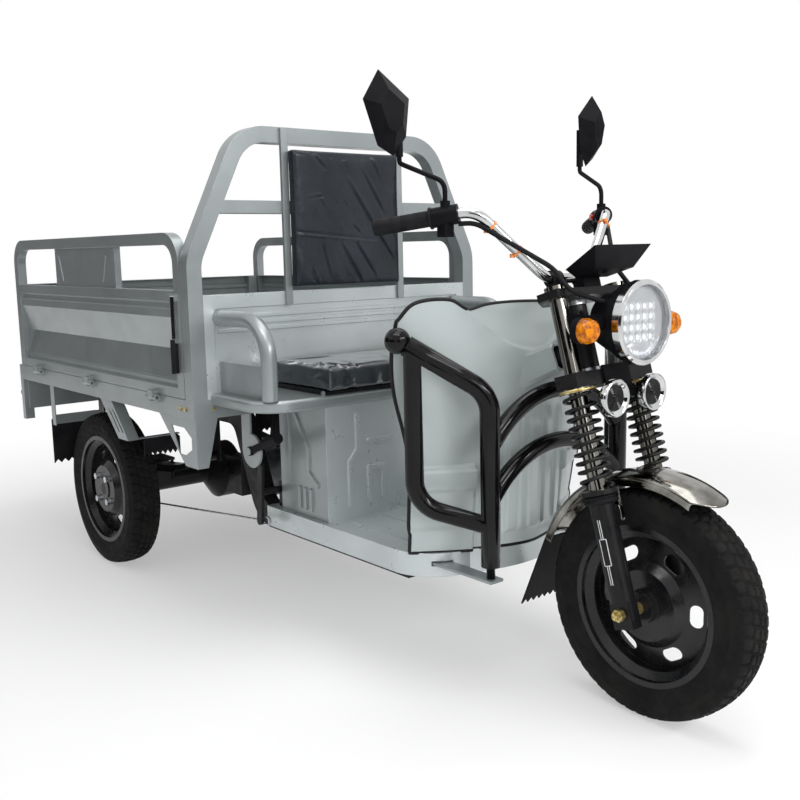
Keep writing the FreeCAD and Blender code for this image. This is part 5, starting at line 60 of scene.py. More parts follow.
def new_finish(name, colour, rough, metal=0.0, coat=0.0, shine=0.5):
    """A finish with its even values set."""
    finish = bpy.data.materials.new(name)
    finish.use_nodes = True
    shader = finish.node_tree.nodes["Principled BSDF"]
    for value, level in (("Base Color", colour), ("Roughness", rough), ("Metallic", metal),
                         ("Coat Weight", coat), ("Coat Roughness", 0.08), ("Specular IOR Level", shine)):
        shader.inputs[value].default_value = level
    return finish


def cloud(finish, scale, detail=4.0, stretch=(1, 1, 1)):
    """Soft uneven field over a piece, from places on the piece itself."""
    tree = finish.node_tree
    place = tree.nodes.new("ShaderNodeTexCoord")
    spread = tree.nodes.new("ShaderNodeMapping")
    spread.inputs["Scale"].default_value = stretch
    patches = tree.nodes.new("ShaderNodeTexNoise")
    patches.inputs["Scale"].default_value = scale
    patches.inputs["Detail"].default_value = detail
    tree.links.new(place.outputs["Object"], spread.inputs["Vector"])
    tree.links.new(spread.outputs["Vector"], patches.inputs["Vector"])
    return patches.outputs["Fac"]


def tint(finish, field, dark, light, low=0.35, high=0.65):
    """Colour that drifts between two tones with a field."""
    tree = finish.node_tree
    ramp = tree.nodes.new("ShaderNodeValToRGB")
    for stop, position, colour in zip(ramp.color_ramp.elements, (low, high), (dark, light)):
        stop.position = position
        stop.color = colour
    tree.links.new(field, ramp.inputs["Fac"])
    tree.links.new(ramp.outputs["Color"], tree.nodes["Principled BSDF"].inputs["Base Color"])


def gloss(finish, field, smooth, dull):
    """Roughness that drifts with a field, as handling and dust leave it."""
    tree = finish.node_tree
    spread = tree.nodes.new("ShaderNodeMapRange")
    for value, level in (("From Min", 0.3), ("From Max", 0.7), ("To Min", smooth), ("To Max", dull)):
        spread.inputs[value].default_value = level
    tree.links.new(field, spread.inputs["Value"])
    tree.links.new(spread.outputs["Result"], tree.nodes["Principled BSDF"].inputs["Roughness"])


def relief(finish, field, height, strength=1.0, edge=0.0):
    """Fine relief from a field, over edges that are softened by a radius."""
    tree = finish.node_tree
    bump = tree.nodes.new("ShaderNodeBump")
    bump.inputs["Distance"].default_value = height
    bump.inputs["Strength"].default_value = strength
    tree.links.new(field, bump.inputs["Height"])
    if edge > 0:
        soft = tree.nodes.new("ShaderNodeBevel")
        soft.samples = 4
        soft.inputs["Radius"].default_value = edge
        tree.links.new(soft.outputs["Normal"], bump.inputs["Normal"])
    tree.links.new(bump.outputs["Normal"], tree.nodes["Principled BSDF"].inputs["Normal"])


def dress(name, finish, *others):
    """Put a finish on a node; each other finish comes with a test of a face's middle."""
    skin = nodes[name].data
    skin.materials.clear()
    skin.materials.append(finish)
    for index, (other, belongs) in enumerate(others, 1):
        skin.materials.append(other)
        for face in skin.polygons:
            if belongs(face.center):
                face.material_index = index


black_enamel = new_finish("black_enamel", tone(17, 17, 19), 0.3, shine=0.2)
tint(black_enamel, cloud(black_enamel, 9), tone(13, 13, 15), tone(23, 23, 24))
gloss(black_enamel, cloud(black_enamel, 40), 0.24, 0.42)
relief(black_enamel, cloud(black_enamel, 300), 0.0004, 0.3, 0.0015)
spring_black = new_finish("spring_black", tone(16, 16, 17), 0.26, shine=0.25)
tint(spring_black, cloud(spring_black, 30), tone(12, 12, 13), tone(22, 22, 22))
gloss(spring_black, cloud(spring_black, 80), 0.26, 0.44)
case_alloy = new_finish("case_alloy", tone(92, 94, 96), 0.5, 0.85)
tint(case_alloy, cloud(case_alloy, 25), tone(70, 71, 72), tone(108, 110, 112))
relief(case_alloy, cloud(case_alloy, 400), 0.0006, 0.5, 0.002)
dress("rear_axle", black_enamel)
dress("leaf_springs", spring_black)
dress("drive_motor", case_alloy)

# Main frame, load box, headboard hoop, seat shelf, battery box and floor pan: welded tube and folded sheet.
# The frame is black; the sheets are sprayed silver grey under a thin clear coat.
# Floor, front wall and the front of the battery box get a lighter copy of the silver: painted light, lifting
# faces that the lamps leave in shade.
silver_paint = new_finish("silver_paint", tone(144, 150, 151), 0.32, 0.55, coat=0.12)
tint(silver_paint, cloud(silver_paint, 5, 6), tone(139, 145, 146), tone(148, 154, 155))
gloss(silver_paint, cloud(silver_paint, 22), 0.28, 0.38)
relief(silver_paint, cloud(silver_paint, 900, 2), 0.0003, 0.2, 0.002)
# Lighter copy of the silver paint: painted light for the floor, front wall and battery front, which lie in
# shade.
silver_painted_light = new_finish("silver_painted_light", tone(186, 193, 194), 0.3, 0.5, coat=0.12)
tint(silver_painted_light, cloud(silver_painted_light, 5, 6), tone(180, 187, 188), tone(191, 198, 199))
gloss(silver_painted_light, cloud(silver_painted_light, 22), 0.26, 0.36)
relief(silver_painted_light, cloud(silver_painted_light, 900, 2), 0.0003, 0.2, 0.002)
zinc_yellow = new_finish("zinc_yellow", tone(184, 164, 104), 0.3, 0.9)
tint(zinc_yellow, cloud(zinc_yellow, 120), tone(150, 128, 76), tone(212, 196, 140))
gloss(zinc_yellow, cloud(zinc_yellow, 200), 0.25, 0.45)
for name in ("bed_frame", "headboard_hoop", "right_gate", "left_gate", "tail_gate", "seat_shelf",
             "arm_hoops"):
    dress(name, silver_paint)
# Floor and front wall take the lighter copy of the silver, painted light for their shade.
for name in ("front_wall", "floor_pan"):
    dress(name, silver_painted_light)
battery_front_x = 0.225
dress("battery_box", silver_paint, (silver_painted_light, lambda middle: middle.x > battery_front_x))


def on_floor_lug(middle):
    """Whether a face belongs to the lugs that carry the floor pan, painted with it."""
    return middle.x > 0.5 and 0.255 < middle.z < 0.272 and 0.18 < abs(middle.y) < 0.23


dress("main_frame", black_enamel, (silver_paint, on_floor_lug))
dress("bed_bolts", zinc_yellow)
dress("hinge_pins", case_alloy)

# Batteries and controller inside the battery box: moulded cases in a row.
# Grey moulded plastic with a fine grain, as plain closed blocks.
case_grey = new_finish("case_grey", tone(70, 72, 76), 0.55)
tint(case_grey, cloud(case_grey, 12), tone(60, 62, 66), tone(80, 82, 86))
relief(case_grey, cloud(case_grey, 700, 2), 0.0005, 0.4, 0.002)
dress("power_pack", case_grey)

# Crash guard: bent steel tube with balls pressed into its open ends, welded and bolted to the floor.
# Black stoved gloss, which mirrors the lamps in long bright lines.
guard_gloss = new_finish("guard_gloss", tone(8, 8, 9), 0.1, shine=0.22)
tint(guard_gloss, cloud(guard_gloss, 14), tone(6, 6, 7), tone(12, 12, 13))
gloss(guard_gloss, cloud(guard_gloss, 60), 0.07, 0.16)
relief(guard_gloss, cloud(guard_gloss, 220), 0.0003, 0.2)


def in_scene(name, data):
    """A new object of the scene, from its mesh, lamp or camera."""
    thing = bpy.data.objects.new(name, data)
    bpy.context.scene.collection.objects.link(thing)
    return thing


def new_piece(name, points, faces, finish, body, smooth=True):
    """A piece from its points and faces, dressed and set on its body."""
    skin = bpy.data.meshes.new(name)
    skin.from_pydata([tuple(point) for point in points], [], faces)
    skin.materials.append(finish)
    for face in skin.polygons:
        face.use_smooth = smooth
    skin.update()
    piece = in_scene(name, skin)
    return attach(piece, body)


coat_thickness = 0.003
ball_reach = 0.0306
ball_growth = 1.12
form = bmesh.new()
form.from_mesh(nodes["crash_guard"].data)
bmesh.ops.remove_doubles(form, verts=form.verts, dist=0.00005)
form.normal_update()
for point in form.verts:
    point.co += point.normal * coat_thickness
    for side in (-1, 1):
        ball = Vector((0.628, side * 0.340, 0.765))
        if (point.co - ball).length < ball_reach:
            point.co = ball + (point.co - ball) * ball_growth
crash_guard = new_piece("crash_guard_coated", [], [], guard_gloss, "chassis")
form.to_mesh(crash_guard.data)
form.free()
for face in crash_guard.data.polygons:
    face.use_smooth = True
    face.material_index = 0
crash_guard.data.set_sharp_from_angle(angle=math.radians(40))
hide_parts("crash_guard")

# Leg shield: one moulded sheet of pearl silver plastic behind the fork, with a faceted neck cover.
# Prow and shoulders are one smooth skin, pleated low down in front and stepped at the sides.
# A black rubber strip is pushed over its whole edge.
pearl_plastic = new_finish("pearl_plastic", tone(158, 166, 166), 0.36, 0.15, coat=0.2)
tint(pearl_plastic, cloud(pearl_plastic, 2.5, 3), tone(155, 163, 163), tone(161, 169, 169))
gloss(pearl_plastic, cloud(pearl_plastic, 30), 0.34, 0.4)
relief(pearl_plastic, cloud(pearl_plastic, 1100, 2), 0.0001, 0.15)
edge_rubber = new_finish("edge_rubber", tone(15, 15, 16), 0.5, shine=0.25)
tint(edge_rubber, cloud(edge_rubber, 60), tone(13, 13, 14), tone(24, 24, 25))
relief(edge_rubber, cloud(edge_rubber, 500), 0.0003, 0.3)


def net_faces(rows, columns, ring_rows=False, ring_columns=False):
    """Four-sided faces between neighbouring points of a net that is listed row by row."""
    faces = []
    for row in range(rows if ring_rows else rows - 1):
        for column in range(columns if ring_columns else columns - 1):
            after = (column + 1) % columns
            below = row * columns
            above = (row + 1) % rows * columns
            faces.append((below + column, below + after, above + after, above + column))
    return faces


def flow(points, steps):
    """A line that passes smoothly through its points."""
    line = []
    for index in range(len(points) - 1):
        first, second = points[index], points[index + 1]
        before = points[index - 1] if index else first * 2 - second
        after = points[index + 2] if index + 2 < len(points) else second * 2 - first
        for step in range(steps):
            t = step / steps
            line.append(((first * 2) + (second - before) * t
                         + (before * 2 - first * 5 + second * 4 - after) * t ** 2
                         + (first * 3 - before - second * 3 + after) * t ** 3) / 2)
    return line + [points[-1]]


def round_bar(line, radius, sides, closed=False):
    """Points and faces of a round bar along a line, with flat ends unless it is closed."""
    points = []
    count = len(line)
    up = Vector((0.31, 0.27, 0.91))
    for index, place in enumerate(line):
        ahead = line[(index + 1) % count] if closed or index + 1 < count else place
        behind = line[index - 1] if closed or index else place
        run = (ahead - behind).normalized()
        up = (up - run * up.dot(run)).normalized()
        out = run.cross(up)
        for side in range(sides):
            turn = 2 * math.pi * side / sides
            points.append(place + (up * math.cos(turn) + out * math.sin(turn)) * radius)
    faces = net_faces(count, sides, closed, True)
    if not closed:
        faces.append(tuple(range(sides - 1, -1, -1)))
        faces.append(tuple(range((count - 1) * sides, count * sides)))
    return points, faces


def smooth_step(low, high, value):
    """0 below low, 1 above high and an even slope between."""
    share = min(max((value - low) / (high - low), 0.0), 1.0)
    return share * share * (3 - 2 * share)


shield_rows = [
    (0.0, 0.730, 0.832, 0.0), (0.202, 0.752, 0.858, 0.11), (0.419, 0.770, 0.897, 0.187),
    (0.653, 0.868, 0.935, 0.2), (0.82, 0.905, 0.974, 0.28),
]
stations = (0.0, 0.24, 0.47, 0.68, 0.87, 1.0)
rim_row = [(0.703, 0.0, 0.971), (0.703, 0.227, 0.968), (0.703, 0.455, 0.958),
           (0.66, 0.600, 1.0), (0.5, 0.800, 0.992), (0.36, 0.895, 0.924)]
net = [[(prow + (edge - prow) * station ** 1.6, half * station, height) for station in stations]
       for height, half, prow, edge in shield_rows] + [rim_row]
shield_back = 0.541
shield_deep = 0.155
shield_half = 0.352
shield_foot = 0.288
shield_tall = 0.554
net = [[Vector((shield_back + shield_deep * ahead, shield_half * out, shield_foot + shield_tall * height))
        for ahead, out, height in row] for row in net]
net = [[Vector((point.x, -point.y, point.z)) for point in reversed(row)] + row[1:] for row in net]
columns = [flow([row[index] for row in net], 26) for index in range(len(net[0]))]
rows = [flow([column[index] for column in columns], 22) for index in range(len(columns[0]))]


def shield_form(place):
    """Stands the pleats, middle panel and side ledges proud of the plain skin and sinks the scoop."""
    out = abs(place.y)
    pleats = 0.5 + 0.5 * math.cos(2 * math.pi * out / 0.056)
    inside = (1 - smooth_step(0.128, 0.138, out)) * smooth_step(0.318, 0.328, place.z)
    inside *= 1 - smooth_step(0.56, 0.60, place.z)
    panel = (1 - smooth_step(0.031, 0.037, out)) * smooth_step(0.318, 0.328, place.z)
    panel *= 1 - smooth_step(0.712, 0.724, place.z)
    side = smooth_step(0.134, 0.144, out)
    ledge = side * (1 - smooth_step(0.472, 0.482, place.z))
    under = side * (1 - smooth_step(0.424, 0.434, place.z))
    foot = 1 - smooth_step(0.338, 0.346, place.z)
    above = place.z - 0.722 - 3.6 * out ** 2
    scoop = 0.007 * smooth_step(0.0, 0.008, above) + 0.30 * max(above, 0.0)
    push = 0.008 * smooth_step(0.38, 0.62, pleats) * inside + 0.005 * panel
    push += 0.019 * ledge - 0.011 * under + 0.006 * foot * side - scoop
    return place + Vector((push, 0, 0))


def double_skin(rows, inward):
    """Points and faces of a thin sheet from its outer net, closed round the rim, and the rim's order."""
    count, wide = len(rows), len(rows[0])
    front = [place for row in rows for place in row]
    back = [place + inward(place) for place in front]
    faces = net_faces(count, wide)
    faces += [tuple(index + len(front) for index in reversed(face)) for face in net_faces(count, wide)]
    rim = list(range(wide)) + [row * wide + wide - 1 for row in range(1, count)]
    rim += [(count - 1) * wide + index for index in range(wide - 2, -1, -1)]
    rim += [row * wide for row in range(count - 2, 0, -1)]
    for first, second in zip(rim, rim[1:] + rim[:1]):
        faces.append((second, first, first + len(front), second + len(front)))
    return front + back, faces, rim


rows = [[shield_form(place) for place in row] for row in rows]
points, faces, rim = double_skin(rows, lambda place: Vector((-0.004, 0, 0)))
shield_skin = new_piece("leg_shield_skin", points, faces, pearl_plastic, "chassis")
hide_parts("leg_shield")
line = [points[index] - Vector((0.002, 0, 0)) for index in rim[::3]]
shield_edge = new_piece("leg_shield_edge_strip", *round_bar(line, 0.0042, 10, True), edge_rubber, "chassis")
points = []
along = Vector((0.9277, 0, 0.3734))
upright = Vector((-0.3734, 0, 0.9277))
neck_foot = Vector((0.585, 0, 0.640))
neck_rings = ((0.062, 0.060, 0.050, 0.012), (0.098, 0.042, 0.037, 0.009), (0.120, 0.037, 0.034, 0.008),
              (0.196, 0.033, 0.031, 0.007), (0.200, 0.031, 0.029, 0.007), (0.200, 0.026, 0.025, 0.006))
for reach, half, tall, cut in neck_rings:
    foot = neck_foot + along * reach
    ring = ((half - cut, tall), (half, tall - cut), (half, cut - tall), (half - cut, -tall),
            (cut - half, -tall), (-half, cut - tall), (-half, tall - cut), (cut - half, tall))
    points += [foot + Vector((0, out, 0)) + upright * up for out, up in ring]
faces = net_faces(len(neck_rings), 8, False, True)
neck_cover = new_piece("leg_shield_neck_cover", points, faces, pearl_plastic, "chassis", smooth=False)

# Front wheel and rear wheels: rubber tyres on pressed steel wheels with slots, drums and nuts.
# Wheels are black gloss; nuts and spindle are plated; rubber is matt with a dusty sheen.
wheel_black = new_finish("wheel_black", tone(17, 17, 18), 0.2, shine=0.36)
tint(wheel_black, cloud(wheel_black, 18), tone(12, 12, 14), tone(25, 25, 26))
gloss(wheel_black, cloud(wheel_black, 50), 0.16, 0.32)
relief(wheel_black, cloud(wheel_black, 260), 0.0003, 0.25, 0.0015)
tyre_rubber = new_finish("tyre_rubber", tone(18, 18, 18), 0.72, shine=0.13)
tint(tyre_rubber, cloud(tyre_rubber, 16, 6), tone(13, 13, 14), tone(25, 24, 23))
gloss(tyre_rubber, cloud(tyre_rubber, 60), 0.62, 0.85)
relief(tyre_rubber, cloud(tyre_rubber, 600, 3), 0.0006, 0.5, 0.001)
bright_zinc = new_finish("bright_zinc", tone(190, 192, 196), 0.26, 0.95)
gloss(bright_zinc, cloud(bright_zinc, 150), 0.2, 0.4)
tint(bright_zinc, cloud(bright_zinc, 60), tone(168, 170, 174), tone(206, 208, 212))
axle_x = 1.010
axle_z = 0.235
rear_axle_x = -0.730


def on_wheel_nut(middle):
    """Whether a face belongs to one of the four nuts on the outside of a rear wheel."""
    nut_out = 0.0354
    nut_half = 0.0108
    return (abs(middle.y) > 0.4085 and abs(abs(middle.x - rear_axle_x) - nut_out) < nut_half
            and abs(abs(middle.z - axle_z) - nut_out) < nut_half)


dress("front_rim", wheel_black)
for name in ("right_rear_rim", "left_rear_rim"):
    dress(name, wheel_black, (bright_zinc, on_wheel_nut))
dress("front_axle", zinc_yellow)


def tread(turn, across):
    """Depth of the cut between the rubber blocks at a place on the tread, from 0 to 1."""
    blocks_round = 54
    pitch = turn / (2 * math.pi) * blocks_round
    wave = abs(2 * (pitch - math.floor(pitch)) - 1) - 0.5
    cut = 0.0
    for line, swing in ((0.0, 0.1), (0.46, -0.1), (-0.46, -0.1)):
        cut = max(cut, 1 - smooth_step(0.045, 0.09, abs(across - line - swing * wave)))
    lean = pitch + 0.55 * across if abs(across) < 0.46 else pitch + 0.5
    slot = abs(lean - math.floor(lean) - 0.5)
    return max(cut, 1 - smooth_step(0.07, 0.14, slot))


turns = 648
tread_half = 0.0405
tread_depth = 0.0052
wall = [(0.1585, -0.0385), (0.160, -0.0405), (0.1665, -0.0428), (0.1685, -0.0436), (0.1700, -0.0434),
        (0.1800, -0.0455), (0.1900, -0.0466), (0.1980, -0.0468), (0.1995, -0.0474), (0.2015, -0.0474),
        (0.2030, -0.0466), (0.2130, -0.0455), (0.2200, -0.0436), (0.2255, -0.0415)]
band = [(0.2345 - 0.0068 * abs(step / 20) ** 2.6, tread_half * step / 20) for step in range(-20, 21)]
section = wall + band + [(radius, -across) for radius, across in reversed(wall)]
section += [(0.1585, 0.034), (0.1585, -0.034)]
points = []
for step in range(turns):
    turn = 2 * math.pi * step / turns
    for index, (radius, across) in enumerate(section):
        if len(wall) <= index < len(wall) + len(band):
            radius -= tread_depth * tread(turn, across / tread_half)
        points.append((radius * math.cos(turn), across, radius * math.sin(turn)))
faces = net_faces(turns, len(section), True, True)
for name, body, place in (("front", "front_wheel", (axle_x, 0, axle_z)),
                          ("right_rear", "wheel_right", (rear_axle_x, -0.375, axle_z)),
                          ("left_rear", "wheel_left", (rear_axle_x, 0.375, axle_z))):
    if name == "front":
        tyre = new_piece("front_treaded_tyre", points, faces, tyre_rubber, body)
        tread_skin = tyre.data
    else:
        tyre = in_scene(name + "_treaded_tyre", tread_skin)
    tyre.parent = None
    tyre.matrix_world = Matrix.Translation(place)
    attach(tyre, body)
    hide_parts(name + "_tyre")

# Fork: black lower legs, coil springs round bright tubes, yokes and stem.
# The tubes are ground and plated, coloured dark with upright streaks as a painted reflection of dark
# surroundings; legs, yokes and stem are stoved black, with thin silver lines on the legs.
chrome = new_finish("chrome", tone(204, 205, 206), 0.07, 1.0)
tint(chrome, cloud(chrome, 20), tone(190, 191, 191), tone(214, 215, 216))
gloss(chrome, cloud(chrome, 45), 0.04, 0.14)
relief(chrome, cloud(chrome, 12), 0.0015, 0.25, 0.001)
# Plated tube in a darkened colour with streaks drawn out along the tubes: a painted reflection of dark
# surroundings.
tube_chrome_painted_reflection = new_finish("tube_chrome_painted_reflection", tone(108, 106, 101), 0.09, 1.0)
tint(tube_chrome_painted_reflection, cloud(tube_chrome_painted_reflection, 24, 4, (1, 1, 0.2)), tone(84, 81, 75), tone(130, 128, 123))
gloss(tube_chrome_painted_reflection, cloud(tube_chrome_painted_reflection, 45), 0.06, 0.16)
flap_rubber = new_finish("flap_rubber", tone(17, 17, 20), 0.6, shine=0.14)
tint(flap_rubber, cloud(flap_rubber, 20), tone(13, 13, 16), tone(23, 23, 25))
relief(flap_rubber, cloud(flap_rubber, 500), 0.0005, 0.4, 0.001)


def on_fork(ahead, across, up):
    """A place given along the raked fork, measured from the front axle."""
    rake = math.radians(16.2)
    return Vector((axle_x + ahead * math.cos(rake) - up * math.sin(rake), across,
                   axle_z + ahead * math.sin(rake) + up * math.cos(rake)))


def joined(shapes):
    """Points and faces of several shapes as one."""
    points, faces = [], []
    for more_points, more_faces in shapes:
        faces += [tuple(index + len(points) for index in face) for face in more_faces]
        points += more_points
    return points, faces


leg_out = 0.092
coil_radius = 0.0305
coil_turns = 10
coil_steps = coil_turns * 30
coils = []
for side in (-1, 1):
    line = []
    for step in range(coil_steps + 1):
        share = step / coil_steps
        rise = 0.2486 + 0.1878 * (0.035 * smooth_step(0.0, 0.1, share) + 0.93 * share
                                  + 0.035 * smooth_step(0.9, 1.0, share))
        turn = 2 * math.pi * coil_turns * share
        across = side * leg_out + coil_radius * math.sin(turn)
        line.append(on_fork(coil_radius * math.cos(turn), across, rise))
    coils.append(round_bar(line, 0.0036, 12))
fork_coils = new_piece("fork_coil_springs", *joined(coils), spring_black, "steering")
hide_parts("fork_springs")
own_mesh(fork_coils)
dress("fork_tubes", tube_chrome_painted_reflection)
for name in ("fork_legs", "steering_stem", "upper_yoke"):
    dress(name, black_enamel)
dress("head_bearings", bright_zinc)


def turned(profile, place, heading, segments):
    """Points and faces of a shape turned about an axis, from (radius, along) pairs."""
    heading = Vector(heading).normalized()
    side = heading.orthogonal().normalized()
    other = heading.cross(side)
    points = []
    for step in range(segments):
        turn = 2 * math.pi * step / segments
        out = side * math.cos(turn) + other * math.sin(turn)
        points += [Vector(place) + out * radius + heading * along for radius, along in profile]
    return points, net_faces(segments, len(profile), True, False)


fork_way = on_fork(0, 0, 1) - on_fork(0, 0, 0)
both_sides = (("right", -1), ("left", 1))
band = [(0.0364, 0.0), (0.0376, 0.0006), (0.0381, 0.0025), (0.0376, 0.0062), (0.0364, 0.0068)]
boot = [(0.0185, 0.0), (0.0300, 0.0002), (0.0335, 0.002), (0.0345, 0.005), (0.0335, 0.008), (0.030, 0.0095),
        (0.0315, 0.012), (0.0330, 0.014), (0.0315, 0.0165), (0.0285, 0.018), (0.0185, 0.0185)]
for name, side in both_sides:
    ring = turned(band, on_fork(0, side * leg_out, 0.4408), fork_way, 48)
    collar = new_piece(name + "_fork_collar_band", *ring, zinc_yellow, "steering")
    ring = turned(boot, on_fork(0, side * leg_out, 0.217), fork_way, 48)
    seal = new_piece(name + "_fork_seal", *ring, flap_rubber, "fork_slider")

silver_line = new_finish("silver_line", tone(196, 198, 200), 0.4, 0.2)
tint(silver_line, cloud(silver_line, 90), tone(176, 178, 180), tone(206, 208, 210))


def leg_stripe(side, corners):
    """Thin raised strip on the outer face of a fork leg, from (way round in degrees, height) corners."""
    leg_radius = 0.025
    half_wide = 0.0008
    strips = []
    for (first_turn, first_up), (second_turn, second_up) in zip(corners, corners[1:]):
        points = []
        for share in (0.0, 0.25, 0.5, 0.75, 1.0):
            turn = math.radians(first_turn + (second_turn - first_turn) * share)
            up = first_up + (second_up - first_up) * share
            sideways = abs(second_turn - first_turn) > 1
            for lift, slide in ((0.0249, -1), (0.0256, -1), (0.0256, 1), (0.0249, 1)):
                swing = turn + (0 if sideways else slide * half_wide / leg_radius)
                height = up + (slide * half_wide if sideways else 0)
                across = side * (leg_out + lift * math.cos(swing))
                points.append(on_fork(lift * math.sin(swing), across, height))
        strips.append((points, net_faces(5, 4, False, True)))
    return joined(strips)


for name, side in both_sides:
    strips = [leg_stripe(side, corners) for corners in (
        [(4, 0.060), (4, 0.098)], [(14, 0.060), (14, 0.098)], [(4, 0.150), (4, 0.188)],
        [(14, 0.150), (14, 0.188)], [(-8, 0.098), (26, 0.098), (26, 0.150), (-8, 0.150), (-8, 0.098)])]
    stripes = new_piece(name + "_fork_leg_lines", *joined(strips), silver_line, "fork_slider")

# Front fender: stainless sheet pressed over a former with rolled lips and a round-cut front end.
# A short strap holds it to each fork leg; its polish is smeared by handling, and dark and light patches in
# its colour are a painted reflection of the surroundings.
# Colour drifting between dark and light patches: a painted reflection on the steel; the roughness drift is
# the smudged polish.
polished_steel_painted_reflection = new_finish("polished_steel_painted_reflection", tone(176, 173, 166), 0.1, 1.0)
tint(polished_steel_painted_reflection, cloud(polished_steel_painted_reflection, 15, 5), tone(66, 62, 54), tone(156, 154, 149), 0.32, 0.62)
gloss(polished_steel_painted_reflection, cloud(polished_steel_painted_reflection, 30), 0.06, 0.2)
relief(polished_steel_painted_reflection, cloud(polished_steel_painted_reflection, 11, 3), 0.006, 0.3)
half_section = [(0.0512, 0.2450), (0.0520, 0.2520), (0.0518, 0.2590), (0.0500, 0.2632), (0.0450, 0.2662),
                (0.0360, 0.2692), (0.0240, 0.2715), (0.0120, 0.2727), (0.0, 0.2731)]
half_section = flow([Vector((across, radius, 0)) for across, radius in half_section], 3)
section = [Vector((-place.x, place.y, 0)) for place in half_section] + half_section[-2::-1]
rows = []
for step in range(81):
    row = []
    for place in section:
        front_end = 56.0 + 7.5 * abs(place.x / 0.052) ** 2.4
        turn = math.radians(front_end + (160.0 - front_end) * step / 80)
        row.append(Vector((axle_x + place.y * math.cos(turn), place.x, axle_z + place.y * math.sin(turn))))
    rows.append(row)


def to_axle(place):
    """The step from the fender's outer skin to its inner one."""
    sheet_thickness = 0.0016
    return (Vector((axle_x, 0, axle_z)) - Vector((place.x, 0, place.z))).normalized() * sheet_thickness


shapes = [double_skin(rows, to_axle)[:2]]
strap_half = 0.011
corner_round = 0.004
for side in (-1, 1):
    for near, far, low, high in ((0.0498, 0.0508, 0.176, 0.262), (0.0498, 0.0618, 0.178, 0.208)):
        strap = []
        for middle_x, middle_z, first in (
                (strap_half, low + corner_round, -90), (strap_half, high - corner_round, 0),
                (-strap_half, high - corner_round, 90), (-strap_half, low + corner_round, 180)):
            for step in range(5):
                turn = math.radians(first + 22.5 * step)
                strap.append((middle_x + corner_round * math.cos(turn),
                              middle_z + corner_round * math.sin(turn)))
        points = [on_fork(ahead, side * across, up) for across in (near, far) for ahead, up in strap]
        ends = [tuple(range(19, -1, -1)), tuple(range(20, 40))]
        shapes.append((points, net_faces(2, 20, False, True) + ends))
fender_shell = new_piece("front_fender_shell", *joined(shapes), polished_steel_painted_reflection, "fork_slider")
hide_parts("front_fender")

# Rubber flaps behind the front fender and round the rear wheels, with saw-tooth lower edges.
# Cut from black sheet rubber, matt and a little uneven.
dress("front_mud_flap", flap_rubber)
dress("rear_mud_flaps", flap_rubber)

# Handlebar with grips, switch housings, button, wiring sleeves, cable ties and mirrors.
# Chromed tube, moulded rubber grips and black moulded plastic with a fine grain.
grained_black = new_finish("grained_black", tone(14, 14, 17), 0.42, shine=0.06)
tint(grained_black, cloud(grained_black, 25), tone(11, 11, 14), tone(18, 18, 21))
relief(grained_black, cloud(grained_black, 1200, 2), 0.0004, 0.5, 0.0015)
signal_red = new_finish("signal_red", tone(176, 24, 20), 0.3, coat=0.4)
tint(signal_red, cloud(signal_red, 80), tone(160, 20, 18), tone(190, 32, 26))
dress("handlebar", chrome)
dress("control_cables", flap_rubber)
bar_middle = on_fork(-0.042, 0, 0.684)
grip_length = 0.122


def bar_side(side):
    """Shoulder and end of one side of the handlebar, and the direction from the first to the second."""
    shoulder = bar_middle + Vector((-0.062, side * 0.205, 0.140))
    end = bar_middle + Vector((-0.225, side * 0.335, 0.110))
    return shoulder, end, (end - shoulder).normalized()


shape = [(0.0113, 0.0), (0.0218, 0.0002), (0.0221, 0.0012), (0.0221, 0.0038), (0.0214, 0.0049),
         (0.0170, 0.0056)]
shape += [(0.0165, 0.0070 + 0.0011 * step) for step in range(96)]
shape += [(0.0163, 0.1160), (0.0160, 0.1195), (0.0150, 0.1213), (0.0120, 0.1219), (0.0002, 0.1220)]
for name, side, body in (("throttle", -1, "throttle"), ("left", 1, "steering")):
    shoulder, end, run = bar_side(side)
    out = run.orthogonal().normalized()
    other = run.cross(out)
    inner = end - run * grip_length
    points = []
    for step in range(72):
        turn = 2 * math.pi * step / 72
        for radius, along in shape:
            if 0.0075 < along < 0.112:
                weave = math.sin(turn * 12 + along * 900) * math.sin(turn * 12 - along * 900)
                ring = smooth_step(-0.1, 0.5, math.sin(along * 2 * math.pi / 0.026))
                radius -= 0.0011 * smooth_step(-0.15, 0.35, weave) * ring
            points.append(inner + (out * math.cos(turn) + other * math.sin(turn)) * radius + run * along)
    faces = net_faces(72, len(shape), True, False)
    sleeve = new_piece(name + "_ribbed_grip", points, faces, flap_rubber, body)
    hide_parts("throttle_grip" if side < 0 else "left_grip")

tie_orange = new_finish("tie_orange", tone(226, 128, 60), 0.45)
tint(tie_orange, cloud(tie_orange, 150), tone(214, 116, 50), tone(236, 146, 80))
ties = (("right_low_cable_tie", -1, 0.42), ("right_high_cable_tie", -1, 0.78), ("left_cable_tie", 1, 0.8))
band = [(0.0112, -0.0026), (0.0126, -0.0024), (0.0126, 0.0024), (0.0112, 0.0026), (0.0112, -0.0026)]
knot = [Vector((0.0042 * sign_x, 0.0036 * sign_y, 0.004 * sign_z))
        for sign_x in (-1, 1) for sign_y in (-1, 1) for sign_z in (-1, 1)]
knot_faces = ((0, 1, 3, 2), (4, 6, 7, 5), (0, 4, 5, 1), (2, 3, 7, 6), (0, 2, 6, 4), (1, 5, 7, 3))
for name, side, share in ties:
    flat = bar_middle + Vector((0, side * 0.062, 0))
    shoulder = bar_side(side)[0]
    way = (shoulder - flat).normalized()
    place = flat + (shoulder - flat) * share
    seat = place + way.orthogonal().normalized() * 0.0145
    shapes = [turned(band, place, way, 40), ([seat + corner for corner in knot], knot_faces)]
    tie = new_piece(name, *joined(shapes), tie_orange, "steering")

